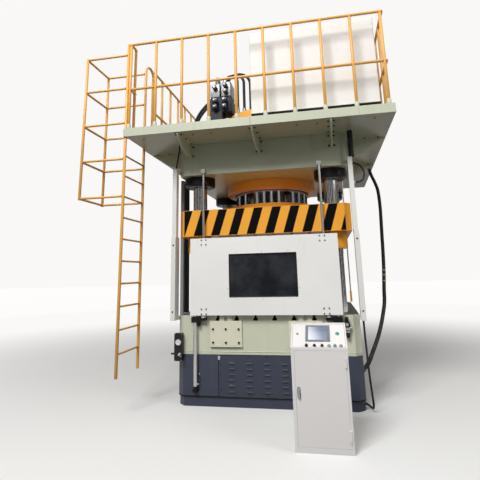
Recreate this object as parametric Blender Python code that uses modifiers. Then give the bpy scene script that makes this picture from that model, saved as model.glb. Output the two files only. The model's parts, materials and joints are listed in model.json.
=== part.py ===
"""A four-column hydraulic press with its service deck, caged ladder, guard door and control console.

Metres, +Z up. +X is the operator's right hand and the operator stands on the -Y side. The origin is on
the floor, midway between the four columns.
"""

import math

import bmesh
import bpy
from mathutils import Matrix, Vector

# Clearances, and how far shapes overlap where they are fused or cut
SEAT_GAP = 0.0003
RUNNING_GAP = 0.001
OVERRUN = 0.02
SINK = 0.003

# Plan of the base, bed, slide and crown, as half sizes
BODY_SIDE = 1.145
BODY_BACK = 1.145
BODY_CHAMFER = 0.08
CROWN_FRONT = 1.154
SLIDE_FRONT = 1.130
BED_FRONT = 1.143

# Heights of what is stacked between the columns, from the floor up
PLINTH_HEIGHT = 0.118
SKIRT_HEIGHT = 0.483
BED_HEIGHT = 0.467
DAYLIGHT = 1.013
SLIDE_HEIGHT = 0.3525
DISC_HEIGHT = 0.1265
HEADROOM = 0.4885
CROWN_HEIGHT = 0.4395
DECK_THICKNESS = 0.1115
PLINTH_TOP = PLINTH_HEIGHT
SKIRT_TOP = PLINTH_TOP + SKIRT_HEIGHT
BED_TOP = SKIRT_TOP + BED_HEIGHT
SLIDE_BOTTOM = BED_TOP + DAYLIGHT
SLIDE_TOP = SLIDE_BOTTOM + SLIDE_HEIGHT
DISC_TOP = SLIDE_TOP + DISC_HEIGHT
CROWN_BOTTOM = SLIDE_TOP + HEADROOM
CROWN_TOP = CROWN_BOTTOM + CROWN_HEIGHT
DECK_TOP = CROWN_TOP + DECK_THICKNESS
PLINTH_INSET = 0.012

# Columns, their collars and the guide bushes of the slide
COLUMN_X = 0.92
COLUMN_Y = 0.865
COLUMN_RADIUS = 0.098
COLUMN_SOCKET = 0.10
COLLAR_RADIUS = 0.215
COLLAR_HEIGHT = 0.131
COLLAR_EDGE = 0.012
BUSH_RADIUS = 0.165
BUSH_DROP = 0.211
COLUMN_SIDES = 20

# Main cylinder and ram
SLIDE_STROKE = 0.70
RAM_RADIUS = 0.56
RAM_GUIDE = 0.375
RAM_CHAMFER = 0.02
DISC_RADIUS = 0.69
RING_RADIUS = 0.69
RING_HEIGHT = 0.147
BARREL_RADIUS = 0.64
HEAD_RADIUS = 0.72
HEAD_HEIGHT = 0.547
HEAD_LID = 0.07
HEAD_EDGE = 0.03
CYLINDER_SIDES = 40

# T-slots of the bed and of the slide
T_SLOT_COUNT = 6
T_SLOT_PITCH = 0.2415
T_SLOT_NECK = 0.028
T_SLOT_WIDTH = 0.054
T_SLOT_FOOT = 0.030
T_SLOT_DEPTH = 0.064
SLIDE_SLOT_MARGIN = 0.06

# Cover plates on the front of the bed, each with two lugs
COVER_X = 0.498
COVER_WIDTH = 0.41
COVER_RISE = 0.091
COVER_HEIGHT = 0.311
COVER_THICKNESS = 0.03
LUG_WIDTH = 0.062
LUG_PITCH = 0.1055

# Louvred panel in the front of the skirt
LOUVRE_COLUMNS = 6
LOUVRE_ROWS = 6
LOUVRE_PITCH_X = 0.2187
LOUVRE_PITCH_Z = 0.0648
LOUVRE_WIDTH = 0.077
LOUVRE_HEIGHT = 0.022
LOUVRE_DEPTH = 0.012
LOUVRE_WALL = 0.003
LOUVRE_LIP_SHARE = 0.2
LOUVRE_BEND_SHARES = (0.7, 0.65)
LOUVRE_MARGIN = 0.168
LOUVRE_FIRST_Z = 0.095
PANEL_LEFT = -0.60
PANEL_THICKNESS = 0.006
PANEL_EDGE = 0.008
PANEL_RECESS = 0.12
PANEL_LEDGE = 0.045

# Position rod that hangs from the crown through the slide
SCALE_ROD_X = 1.085
SCALE_ROD_Y = -0.60
SCALE_ROD_RADIUS = 0.008
SCALE_ROD_BOTTOM = 0.116
SCALE_HOLE_RADIUS = 0.022
SCALE_STRIP_HEIGHT = 0.135
SCALE_STRIP_WIDTH = 0.026
SCALE_FOOT_RADIUS = 0.025
SCALE_FOOT_HEIGHT = 0.02

# Guard door with its window
DOOR_HALF_WIDTH = 0.95
DOOR_RISE = 0.0065
DOOR_HEIGHT = 0.9685
DOOR_FRONT = 1.2275
DOOR_THICKNESS = 0.015
DOOR_RIM_DEPTH = 0.03
DOOR_RIM_WIDTH = 0.012
WINDOW_HALF_WIDTH = 0.433
WINDOW_RISE = 0.216
WINDOW_HEIGHT = 0.5365
WINDOW_LIP = 0.014
PANE_THICKNESS = 0.007

# Guide rods of the door, on the front of the crown and bed
GUIDE_X = 0.781
GUIDE_Y = 1.187
GUIDE_RADIUS = 0.016
GUIDE_TOP = 0.045
GUIDE_CLAMP_WIDTH = 0.06
GUIDE_CLAMP_DROP = 0.033
GUIDE_CLAMP_RISE = 0.022
GUIDE_CLAMP_WALL = 0.012
GUIDE_TAIL = 0.053
BLOCK_WIDTH = 0.07
BLOCK_HEIGHT = 0.10
BLOCK_WALL = 0.011
BLOCK_MARGIN = 0.012

# Air cylinders that lift the door
LIFT_X = 0.892
LIFT_Y = 1.180
LIFT_RADIUS = 0.026
LIFT_BORE = 0.020
LIFT_ROD = 0.010
LIFT_BOTTOM = 0.206
LIFT_DROP = 0.064
LIFT_WALL = 0.02
PISTON_HEIGHT = 0.02
PISTON_FLOAT = 0.01
LIFT_FOOT_HEIGHT = 0.036
LIFT_FOOT_WIDTH = 0.06
LIFT_LUG_WIDTH = 0.05
LIFT_LUG_HEIGHT = 0.04
BRACKET_DROP = 0.125
BRACKET_HEIGHT = 0.11
BRACKET_OUTER = 0.048
BRACKET_INNER = 0.059
BRACKET_WALL = 0.034
ARM_HEIGHT = 0.04
ARM_DROP = 0.023
ROD_SIDES = 16

# Side posts beside the working space
POST_LOW_INNER = 1.152
POST_LOW_WIDTH = 0.06
POST_LOW_DEPTH = 0.15
POST_TOP_INNER = 1.146
POST_TOP_WIDTH = 0.057
POST_TOP_DEPTH = 0.09
POST_FRONT = 1.24
POST_DROP = 0.057
POST_JOINT_RISE = 1.007
POST_RISE = 0.083
POST_ARM_THICKNESS = 0.012
POST_ARM_LENGTH = 0.12
POST_ARM_HEIGHT = 0.045

# Bar and cable duct on the left side
BAR_X = -1.277
BAR_Y = -0.60
BAR_SIZE = 0.046
DUCT_X = -1.26
DUCT_Y = -0.45
DUCT_SIZE = 0.06
SIDE_ARM_SIZE = 0.04
SIDE_ARM_DROP = 0.02
BAR_FOOT_DROP = 0.06
BAR_HEAD_RISE = 0.06

# Gauge box on the left chamfer, and air valve on the right of the bed
GAUGE_BOX_INNER = 1.055
GAUGE_BOX_WIDTH = 0.104
GAUGE_BOX_RISE = 0.328
GAUGE_BOX_DROP = 0.07
GAUGE_BOX_BACK = 1.165
GAUGE_BOX_DEPTH = 0.06
GAUGE_WEDGE_SHARES = (0.2, 0.6)
GAUGE_X = 1.097
GAUGE_RISE = 0.156
GAUGE_RADIUS = 0.034
GAUGE_DEPTH = 0.028
COCK_X = 1.080
COCK_RISE = 0.012
COCK_RADIUS = 0.012
COCK_LENGTH = 0.05
AIR_X = 0.987
AIR_WIDTH = 0.064
AIR_DEPTH = 0.07
AIR_DROP = 0.071
AIR_HEIGHT = 0.10
AIR_BOWL_RADIUS = 0.025
AIR_BOWL_REACH = 0.041
AIR_BOWL_HEIGHT = 0.09
AIR_KNOB_RADIUS = 0.02
AIR_KNOB_HEIGHT = 0.05
AIR_SIDES = 12

# Service deck and the gussets under it
DECK_SIDE = 1.705
DECK_FRONT = 1.755
DECK_BACK = 2.78
FASCIA_THICKNESS = 0.012
FLOOR_BORDER = 0.10
FLOOR_SEAM_WIDTH = 0.006
FLOOR_SEAM_DEPTH = 0.004
FLOOR_SEAM_X = -0.012
FLOOR_SEAM_Y = 0.80
NOTCH_DEPTH = 0.05
NOTCH_BACK = 1.08
GUSSET_THICKNESS = 0.022
GUSSET_X = 0.965
GUSSET_DEPTH = 0.205
GUSSET_FLANGE_WIDTH = 0.10
GUSSET_FLANGE_THICKNESS = 0.012
GUSSET_FLANGE_REACH = 0.575
GUSSET_FLANGE_DROP = 0.197
GUSSET_END_MARGIN = 0.015
SIDE_GUSSET_Y = (-0.77, 0.72)
SIDE_GUSSET_DEPTH = 0.25
REAR_GUSSET_DEPTH = 0.36
REAR_GUSSET_MARGIN = 0.06
FRONT_GUSSET_SHARES = ((1.0, 1.0), (0.62, 0.95), (0.34, 0.78), (0.16, 0.5), (0.05, 0.24), (0.0, 0.08))
SIDE_GUSSET_SHARES = ((0.0, 1.0), (0.25, 0.92), (0.45, 0.76), (0.62, 0.53), (0.8, 0.28), (1.0, 0.04))

# Railings round the deck
RAIL_RADIUS = 0.019
RAIL_BAR_RADIUS = 0.0178
RAIL_TOP = 1.222
RAIL_MIDDLE = 0.557
RAIL_POST_PITCH = 0.365
RAIL_POST_COUNT = 10
RAIL_FRONT_INSET = 0.027
RAIL_SIDE_INSET = 0.040
RAIL_SIDE_PITCH = 0.376
RAIL_SIDES = 8
RETURN_LENGTH = 0.139
RETURN_RADIUS = 0.0165
LEFT_POSTS = 9
RIGHT_POSTS = 11

# Ladder with its cage
LADDER_X = -1.686
LADDER_NEAR_Y = -1.720
LADDER_WIDTH = 0.577
LADDER_BOTTOM = 0.422
LADDER_RUNG_COUNT = 11
LADDER_RUNG_FIRST = 0.262
LADDER_RUNG_PITCH = 0.27
LADDER_RUNG_RADIUS = 0.012
LADDER_BEND = 0.107
LADDER_CLIP = 0.05
CAGE_OUTER_X = -2.302
CAGE_RADIUS = 0.015
CAGE_UPRIGHT_RADIUS = 0.018
CAGE_FIRST = 2.154
CAGE_PITCH = 0.494
CAGE_HOOPS = 5

# Pump enclosure on the deck
ENCLOSURE_LEFT = -0.03
ENCLOSURE_WIDTH = 1.61
ENCLOSURE_FRONT = 1.53
ENCLOSURE_DEPTH = 0.70
ENCLOSURE_HEIGHT = 1.19
ENCLOSURE_FOOT = 0.10
ENCLOSURE_FOOT_SIZE = 0.08
ENCLOSURE_EDGE = 0.008
ENCLOSURE_SEAM = 0.006

# Valve stack beside the cylinder head, with its pipes
VALVE_PEDESTAL_X = -0.75
VALVE_PEDESTAL_Y = -0.50
VALVE_PEDESTAL_WIDTH = 0.22
VALVE_PEDESTAL_DEPTH = 0.24
VALVE_BLOCK_X = -0.67
VALVE_BLOCK_Y = -0.45
VALVE_BLOCK_WIDTH = 0.34
VALVE_BLOCK_DEPTH = 0.30
VALVE_BLOCK_RISE = 0.03
VALVE_BLOCK_HEIGHT = 0.50
CARTRIDGE_RADIUS = 0.045
CARTRIDGE_LENGTH = 0.13
CARTRIDGE_PITCH_X = 0.15
CARTRIDGE_PITCH_Z = 0.15
CARTRIDGE_CAP_HEIGHT = 0.15
PIPE_RADIUS = 0.022
PIPE_START_X = -0.60
PIPE_END_X = (-0.40, -0.31, -0.22)
PIPE_Y = (-0.56, -0.49, -0.42)
FERRULE_RADIUS = 0.032
FERRULE_HEIGHT = 0.09
PIPE_SIDES = 8
PIPE_ARC_STEPS = 5
HOSE_RADIUS = 0.02
HOSE_PITCH = 0.09
SIDE_HOSE_SHARES = ((0.28, 0.93), (0.62, 0.74), (0.88, 0.46), (1.0, 0.2), (1.0, 0.0))
SIDE_HOSE_REACH = 0.36
SIDE_HOSE_RISE = 0.80

# Control console in front of the press
CONSOLE_LEFT = 0.412
CONSOLE_WIDTH = 0.525
CONSOLE_FRONT = 2.34
CONSOLE_DEPTH = 0.40
CONSOLE_FRONT_HEIGHT = 0.885
CONSOLE_BACK_HEIGHT = 1.075
CONSOLE_SLOPE = 0.24
CONSOLE_TOP_DEPTH = 0.08
CONSOLE_BACK_DROP = 0.085
CONSOLE_WALL = 0.02
CONSOLE_FLOOR = 0.06
CONSOLE_ROOF = 0.045
CONSOLE_DOOR_LEFT = 0.032
CONSOLE_DOOR_WIDTH = 0.469
CONSOLE_DOOR_BOTTOM = 0.05
CONSOLE_DOOR_TOP = 0.86
CONSOLE_DOOR_THICKNESS = 0.012
CONSOLE_DOOR_PLAY = 0.0015
CONSOLE_DOOR_LAP = 0.011
HINGE_RADIUS = 0.007
HINGE_OFFSET = 0.004
HINGE_LENGTH = 0.03
HINGE_MARGIN = 0.10
HINGE_LEAF_WIDTH = 0.016
HINGE_LEAF_THICKNESS = 0.0035
HINGE_LEAF_LAP = 0.0023
HINGE_LEAF_LIFT = 0.0004
HINGE_SIDES = 8
HANDLE_INSET = 0.027
HANDLE_Z = 0.52
HANDLE_WIDTH = 0.018
HANDLE_LENGTH = 0.084
HANDLE_THICKNESS = 0.012
HANDLE_BOSS_RADIUS = 0.012
HANDLE_BOSS_HEIGHT = 0.010
SCREEN_LEFT = 0.139
SCREEN_WIDTH = 0.233
SCREEN_UP = 0.075
SCREEN_HEIGHT = 0.205
SCREEN_THICKNESS = 0.012
SCREEN_POCKET = 0.006
BUTTON_X = (0.224, 0.295, 0.359, 0.413, 0.468)
BUTTON_UP = 0.024
BUTTON_RADIUS = 0.014
BUTTON_STEM = 0.008
BUTTON_STEM_LENGTH = 0.02
BUTTON_LIFT = 0.006
BUTTON_CAP = 0.010
BUTTON_SIDES = 12
BUTTON_POCKET = 0.028
CHANNEL_WIDTH = 0.11
CHANNEL_HEIGHT = 0.04
CHANNEL_TOP_WIDTH = 0.08
CHANNEL_X = 0.66

# Cables and hoses: their radii, and the points that each one follows
POST_CABLE_RADIUS = 0.010
POST_CABLE_ROUTE = (
    (-1.124, -1.200, 3.345),
    (-1.126, -1.199, 3.280),
    (-1.139, -1.198, 3.200),
    (-1.153, -1.197, 3.110),
    (-1.168, -1.196, 3.022),
)
LOOP_RADIUS = 0.012
LOOP_ROUTE = (
    (1.160, -0.950, 2.990),
    (1.215, -0.955, 2.990),
    (1.296, -0.985, 2.955),
    (1.343, -1.035, 2.875),
    (1.349, -1.090, 2.790),
    (1.318, -1.140, 2.715),
    (1.266, -1.172, 2.683),
    (1.218, -1.185, 2.677),
)
POWER_HOSE_RADIUS = 0.0275
POWER_HOSE_ROUTE = (
    (1.645, 1.000, 3.335),
    (1.668, 0.990, 3.230),
    (1.715, 0.970, 3.090),
    (1.750, 0.945, 2.930),
    (1.755, 0.900, 2.660),
    (1.742, 0.850, 2.400),
    (1.724, 0.780, 2.150),
    (1.706, 0.700, 1.900),
    (1.676, 0.580, 1.590),
    (1.636, 0.450, 1.290),
    (1.612, 0.350, 1.110),
    (1.562, 0.230, 0.950),
    (1.504, 0.100, 0.805),
    (1.440, -0.045, 0.680),
    (1.372, -0.190, 0.575),
    (1.310, -0.320, 0.485),
    (1.258, -0.425, 0.412),
    (1.218, -0.485, 0.368),
    (1.178, -0.520, 0.345),
)
FLOOR_CABLE_RADIUS = 0.012
FLOOR_CABLE_ROUTE = (
    (1.180, -1.165, 0.995),
    (1.181, -1.168, 0.920),
    (1.182, -1.175, 0.800),
    (1.186, -1.182, 0.650),
    (1.190, -1.188, 0.500),
    (1.197, -1.192, 0.350),
    (1.206, -1.192, 0.210),
    (1.213, -1.178, 0.120),
    (1.214, -1.135, 0.058),
    (1.207, -1.070, 0.034),
    (1.190, -1.005, 0.032),
    (1.166, -0.963, 0.040),
    (1.150, -0.948, 0.044),
)
CONDUIT_X = 1.2015
CONDUIT_Y = -1.195
CONDUIT_RADIUS = 0.036
CONDUIT_RIB = 0.004
CONDUIT_PITCH = 0.05
CONDUIT_RIB_SHARES = (0.3, 0.6)
CONDUIT_SIDES = 8
CORD_SPACING_SHARE = 2.4
GLAND_SHARE = 1.35
GLAND_LENGTH = 0.05
ROUTE_STEPS = 24

# Colours, as red, green and blue shares
CREAM = (0.60, 0.61, 0.51)
WHITE = (0.82, 0.81, 0.78)
SLATE = (0.045, 0.055, 0.085)
YELLOW = (0.95, 0.42, 0.05)
RAIL_YELLOW = (0.90, 0.45, 0.10)
CHROME = (0.75, 0.75, 0.75)
BLACK = (0.02, 0.02, 0.022)
STEEL = (0.55, 0.55, 0.55)
SMOKE = (0.03, 0.035, 0.04)
GREY = (0.28, 0.29, 0.29)
GREEN = (0.05, 0.35, 0.18)


def clear_scene():
    for obj in list(bpy.data.objects):
        bpy.data.objects.remove(obj, do_unlink=True)
    for group in list(bpy.data.collections):
        bpy.data.collections.remove(group)


clear_scene()
PRESS = bpy.data.collections.new("hydraulic_press")
CUTTERS = bpy.data.collections.new("joined_and_cut_shapes")
bpy.context.scene.collection.children.link(PRESS)
bpy.context.scene.collection.children.link(CUTTERS)


# Shapes: each function returns a mesh object that a node or a joined shape is made of

def placed(bm, name, matrix=None):
    mesh = bpy.data.meshes.new(name)
    bm.to_mesh(mesh)
    bm.free()
    obj = bpy.data.objects.new(name, mesh)
    CUTTERS.objects.link(obj)
    if matrix is not None:
        obj.matrix_world = matrix
    return obj


def box(low, high, edge=0.0):
    """A cuboid between two corners, its edges bevelled by the given width."""
    low, high = Vector(low), Vector(high)
    size = high - low
    bm = bmesh.new()
    bmesh.ops.create_cube(bm, size=1.0, matrix=Matrix.Diagonal((*size, 1.0)))
    if edge:
        bmesh.ops.bevel(bm, geom=bm.edges[:], offset=edge, segments=1, affect="EDGES")
    return placed(bm, "box", Matrix.Translation((low + high) / 2))


def bar(start, end, radius, sides):
    """A round bar between two points."""
    start, end = Vector(start), Vector(end)
    along = end - start
    bm = bmesh.new()
    bmesh.ops.create_cone(bm, cap_ends=True, segments=sides, radius1=radius, radius2=radius,
                          depth=along.length)
    turn = along.to_track_quat("Z", "Y").to_matrix().to_4x4()
    if along.x == 0 and along.y == 0:
        turn = Matrix.Identity(4)
    return smooth(placed(bm, "bar", Matrix.Translation((start + end) / 2) @ turn))


def upright(x, y, low, high, radius, sides):
    return bar((x, y, low), (x, y, high), radius, sides)


def turned(profile, centre, sides, closed=False):
    """A turned solid from points of radius and height, which run down its outer side."""
    mesh = bpy.data.meshes.new("turned")
    points = [(radius, 0.0, height) for radius, height in profile]
    edges = [(i, i + 1) for i in range(len(points) - 1)]
    if closed:
        edges.append((len(points) - 1, 0))
    mesh.from_pydata(points, edges, [])
    obj = bpy.data.objects.new("turned", mesh)
    CUTTERS.objects.link(obj)
    obj.location = centre
    screw = obj.modifiers.new("turn", "SCREW")
    screw.steps = sides
    screw.render_steps = sides
    screw.use_merge_vertices = True
    screw.merge_threshold = 0.0001
    return obj


def smooth(obj, angle=35.0):
    obj.data.shade_smooth()
    obj.data.set_sharp_from_angle(angle=math.radians(angle))
    return obj


def as_mesh(obj):
    """The mesh of a curve or of an object with modifiers, its loose seams welded, in place of the object."""
    bpy.context.view_layer.update()
    graph = bpy.context.evaluated_depsgraph_get()
    mesh = bpy.data.meshes.new_from_object(obj.evaluated_get(graph))
    bm = bmesh.new()
    bm.from_mesh(mesh)
    bmesh.ops.remove_doubles(bm, verts=bm.verts, dist=0.00005)
    bmesh.ops.recalc_face_normals(bm, faces=bm.faces)
    matrix = obj.matrix_world.copy()
    bpy.data.objects.remove(obj, do_unlink=True)
    return placed(bm, "shape", matrix)


PLANES = {
    "XY": Matrix.Identity(4),
    "XZ": Matrix.Rotation(math.radians(90), 4, "X"),
    "YZ": Matrix(((0, 0, 1, 0), (1, 0, 0, 0), (0, 1, 0, 0), (0, 0, 0, 1))),
}


def plate(plane, outline, low, high, holes=()):
    """A flat outline in one of the three planes, as thick as from low to high across that plane."""
    curve = bpy.data.curves.new("plate", "CURVE")
    curve.dimensions = "2D"
    curve.fill_mode = "BOTH"
    curve.extrude = (high - low) / 2
    for loop in (outline, *holes):
        spline = curve.splines.new("POLY")
        spline.points.add(len(loop) - 1)
        for point, (u, v) in zip(spline.points, loop):
            point.co = (u, v, 0.0, 1.0)
        spline.use_cyclic_u = True
    obj = bpy.data.objects.new("plate", curve)
    CUTTERS.objects.link(obj)
    middle = (low + high) / 2
    shift = {"XY": (0, 0, middle), "XZ": (0, middle, 0), "YZ": (middle, 0, 0)}[plane]
    obj.matrix_world = Matrix.Translation(shift) @ PLANES[plane]
    return as_mesh(obj)


def tube(name, points, radius, sides):
    """A curve object of round section along the points, with closed ends."""
    curve = bpy.data.curves.new(name, "CURVE")
    curve.dimensions = "3D"
    curve.bevel_depth = radius
    curve.bevel_resolution = sides // 2 - 2
    curve.use_fill_caps = True
    spline = curve.splines.new("POLY")
    spline.points.add(len(points) - 1)
    for point, place in zip(spline.points, points):
        point.co = (*place, 1.0)
    spline.use_smooth = True
    obj = bpy.data.objects.new(name, curve)
    CUTTERS.objects.link(obj)
    return obj


def circle(x, y, radius, sides):
    turns = [2 * math.pi * i / sides for i in range(sides)]
    return [(x + radius * math.cos(turn), y + radius * math.sin(turn)) for turn in turns]


def chamfered(front):
    """The plan of a body with cut corners, anticlockwise from the front left."""
    side, back, cut = BODY_SIDE, BODY_BACK, BODY_CHAMFER
    return [
        (cut - side, -front),
        (side - cut, -front),
        (side, cut - front),
        (side, back - cut),
        (side - cut, back),
        (cut - side, back),
        (-side, back - cut),
        (-side, cut - front),
    ]


def arc(centre, first, last, steps):
    """Points of a turn about the centre, from the direction first to the direction last."""
    centre, first, last = Vector(centre), Vector(first), Vector(last)
    turns = [i / steps * math.pi / 2 for i in range(steps + 1)]
    return [centre + first * math.cos(turn) + last * math.sin(turn) for turn in turns]


def smooth_route(points, spacing):
    """Points at even steps along one smooth curve through the given points."""
    knots = [Vector(point) for point in points]
    knots = [knots[0] * 2 - knots[1], *knots, knots[-1] * 2 - knots[-2]]
    fine = []
    for i in range(1, len(knots) - 2):
        a, b, c, d = knots[i - 1:i + 3]
        for step in range(ROUTE_STEPS):
            t = step / ROUTE_STEPS
            fine.append((b * 2 + (c - a) * t + (a * 2 - b * 5 + c * 4 - d) * t ** 2
                         + (b * 3 - a - c * 3 + d) * t ** 3) / 2)
    fine.append(knots[-2])
    runs = [0.0]
    for a, b in zip(fine, fine[1:]):
        runs.append(runs[-1] + (b - a).length)
    count = max(3, round(runs[-1] / spacing))
    route = []
    k = 0
    for i in range(count):
        wanted = runs[-1] * i / count
        while runs[k + 1] < wanted:
            k += 1
        share = (wanted - runs[k]) / (runs[k + 1] - runs[k])
        route.append(fine[k].lerp(fine[k + 1], share))
    route.append(fine[-1])
    return route


def cord_points(route, radius):
    return smooth_route(route, radius * 2 * CORD_SPACING_SHARE)


def gland(points, radius):
    """The fitting that the last of the points runs into, in line with the cord."""
    end = points[-1]
    along = (end - points[-2]).normalized()
    return bar(end + along * SEAT_GAP, end + along * (SEAT_GAP + GLAND_LENGTH),
               radius * GLAND_SHARE, PIPE_SIDES)


def first_gland(route, radius):
    return gland(cord_points(route, radius)[::-1], radius)


def last_gland(route, radius):
    return gland(cord_points(route, radius), radius)


# Joining and cutting

def tools_of(obj, pieces, operation, label):
    group = bpy.data.collections.new(label)
    CUTTERS.children.link(group)
    for piece in pieces:
        for owner in list(piece.users_collection):
            owner.objects.unlink(piece)
        group.objects.link(piece)
        piece.hide_render = True
        piece.display_type = "WIRE"
    boolean = obj.modifiers.new(label, "BOOLEAN")
    boolean.operation = operation
    boolean.operand_type = "COLLECTION"
    boolean.collection = group
    boolean.solver = "EXACT"
    return obj


def joined(obj, *pieces):
    return tools_of(obj, pieces, "UNION", "joined")


def cut(obj, *pieces):
    return tools_of(obj, pieces, "DIFFERENCE", "cut")


# Materials and nodes

def finish(name, colour, roughness, metallic=0.0, alpha=1.0):
    material = bpy.data.materials.new(name)
    material.use_nodes = True
    shader = material.node_tree.nodes["Principled BSDF"]
    shader.inputs["Base Color"].default_value = (*colour, 1.0)
    shader.inputs["Roughness"].default_value = roughness
    shader.inputs["Metallic"].default_value = metallic
    shader.inputs["Alpha"].default_value = alpha
    material.diffuse_color = (*colour, 1.0)
    return material


def body(name, centre, tilt=0.0):
    """An empty on a joint's axis, which carries the pieces that move with it."""
    empty = bpy.data.objects.new(name, None)
    empty.location = centre
    empty.rotation_euler = (tilt, 0.0, 0.0)
    PRESS.objects.link(empty)
    return empty


def node(name, obj, look, carrier):
    """The finished piece under its own name, with its own material, on the body that carries it."""
    for owner in list(obj.users_collection):
        owner.objects.unlink(obj)
    PRESS.objects.link(obj)
    obj.name = name
    obj.data.name = name
    obj.data.materials.clear()
    obj.data.materials.append(finish(name, *look))
    home = Matrix.Translation(carrier.location) @ carrier.rotation_euler.to_matrix().to_4x4()
    obj.parent = carrier
    obj.matrix_parent_inverse = home.inverted()
    return obj


# Base, bed and columns

PANEL_WIDTH = 2 * LOUVRE_MARGIN + (LOUVRE_COLUMNS - 1) * LOUVRE_PITCH_X
PANEL_BOTTOM = PLINTH_TOP + PANEL_EDGE
PANEL_TOP = SKIRT_TOP - PANEL_EDGE
COLUMN_PLACES = {
    "front_left": (-COLUMN_X, -COLUMN_Y),
    "front_right": (COLUMN_X, -COLUMN_Y),
    "rear_left": (-COLUMN_X, COLUMN_Y),
    "rear_right": (COLUMN_X, COLUMN_Y),
}


def base_skirt(root):
    skirt = plate("XY", chamfered(BED_FRONT), PLINTH_TOP, SKIRT_TOP)
    share = 1 - PLINTH_INSET / BODY_SIDE
    inset = [(x * share, y * share) for x, y in chamfered(BED_FRONT)]
    plinth = plate("XY", inset, 0.0, PLINTH_TOP + SINK)
    channel_half = CHANNEL_WIDTH / 2
    channel_top_half = CHANNEL_TOP_WIDTH / 2
    channel = plate(
        "XZ",
        [
            (CHANNEL_X - channel_half, 0.0),
            (CHANNEL_X + channel_half, 0.0),
            (CHANNEL_X + channel_top_half, CHANNEL_HEIGHT),
            (CHANNEL_X - channel_top_half, CHANNEL_HEIGHT),
        ],
        -(CONSOLE_FRONT - CONSOLE_DEPTH - SEAT_GAP),
        -(BED_FRONT - PLINTH_INSET - OVERRUN),
    )
    glands = [
        last_gland(POWER_HOSE_ROUTE, POWER_HOSE_RADIUS),
        last_gland(FLOOR_CABLE_ROUTE, FLOOR_CABLE_RADIUS),
    ]
    joined(skirt, plinth, channel, *glands)
    right = PANEL_LEFT + PANEL_WIDTH
    seat = box(
        (PANEL_LEFT, -BED_FRONT - OVERRUN, PANEL_BOTTOM),
        (right, -BED_FRONT + PANEL_THICKNESS + SEAT_GAP, PANEL_TOP),
    )
    recess = box(
        (PANEL_LEFT + PANEL_LEDGE, -BED_FRONT - OVERRUN, PANEL_BOTTOM + PANEL_LEDGE),
        (right - PANEL_LEDGE, -BED_FRONT + PANEL_RECESS, PANEL_TOP - PANEL_LEDGE),
    )
    cut(skirt, seat, recess)
    node("base_skirt", skirt, (SLATE, 0.45), root)


def louvre_profile(middle):
    """The section of one hood: flush at its top and open at its foot, with its back sunk in the sheet."""
    top = middle + LOUVRE_HEIGHT / 2
    foot = middle - LOUVRE_HEIGHT / 2
    face = -BED_FRONT
    return [
        (face + PANEL_THICKNESS / 2, foot),
        (face - LOUVRE_DEPTH, foot),
        (face - LOUVRE_DEPTH, foot + LOUVRE_HEIGHT * LOUVRE_LIP_SHARE),
        (face - LOUVRE_DEPTH * LOUVRE_BEND_SHARES[0], foot + LOUVRE_HEIGHT * LOUVRE_BEND_SHARES[1]),
        (face, top),
        (face + PANEL_THICKNESS / 2, top),
    ]


def louvre_panel(root):
    sheet = box(
        (PANEL_LEFT + SEAT_GAP, -BED_FRONT, PANEL_BOTTOM + SEAT_GAP),
        (PANEL_LEFT + PANEL_WIDTH - SEAT_GAP, -BED_FRONT + PANEL_THICKNESS, PANEL_TOP - SEAT_GAP),
    )
    hoods = []
    mouths = []
    for column in range(LOUVRE_COLUMNS):
        x = PANEL_LEFT + LOUVRE_MARGIN + column * LOUVRE_PITCH_X
        for row in range(LOUVRE_ROWS):
            z = SKIRT_TOP - LOUVRE_FIRST_Z - row * LOUVRE_PITCH_Z
            hoods.append(plate("YZ", louvre_profile(z), x - LOUVRE_WIDTH / 2, x + LOUVRE_WIDTH / 2))
            mouths.append(box(
                (x - LOUVRE_WIDTH / 2 + LOUVRE_WALL, -BED_FRONT - LOUVRE_DEPTH + LOUVRE_WALL,
                 z - LOUVRE_HEIGHT / 2 - LOUVRE_WALL),
                (x + LOUVRE_WIDTH / 2 - LOUVRE_WALL, -BED_FRONT + PANEL_THICKNESS + OVERRUN, z),
            ))
    joined(sheet, *hoods)
    cut(sheet, *mouths)
    node("louvre_panel", sheet, (SLATE, 0.45), root)


def t_slots(face, inward, start):
    """Cutters for the slots from a start to the back; inward is +1 where they run down from the face."""
    cutters = []
    for i in range(T_SLOT_COUNT):
        x = (i - (T_SLOT_COUNT - 1) / 2) * T_SLOT_PITCH
        neck, wide = T_SLOT_NECK / 2, T_SLOT_WIDTH / 2
        foot = face - inward * (T_SLOT_DEPTH - T_SLOT_FOOT)
        deep = face - inward * T_SLOT_DEPTH
        out = face + inward * OVERRUN
        outline = [
            (x - neck, out), (x - neck, foot), (x - wide, foot), (x - wide, deep),
            (x + wide, deep), (x + wide, foot), (x + neck, foot), (x + neck, out),
        ]
        cutters.append(plate("XZ", outline, start, BODY_BACK + OVERRUN))
    return cutters


def bed(root):
    block = plate("XY", chamfered(BED_FRONT), SKIRT_TOP + SEAT_GAP, BED_TOP)
    sockets = [
        upright(x, y, BED_TOP - COLUMN_SOCKET - SEAT_GAP, BED_TOP + OVERRUN,
                COLUMN_RADIUS + SEAT_GAP, COLUMN_SIDES)
        for x, y in COLUMN_PLACES.values()
    ]
    cut(block, *t_slots(BED_TOP, 1, -BED_FRONT - OVERRUN), *sockets)
    node("bed", block, (CREAM, 0.5), root)


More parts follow.
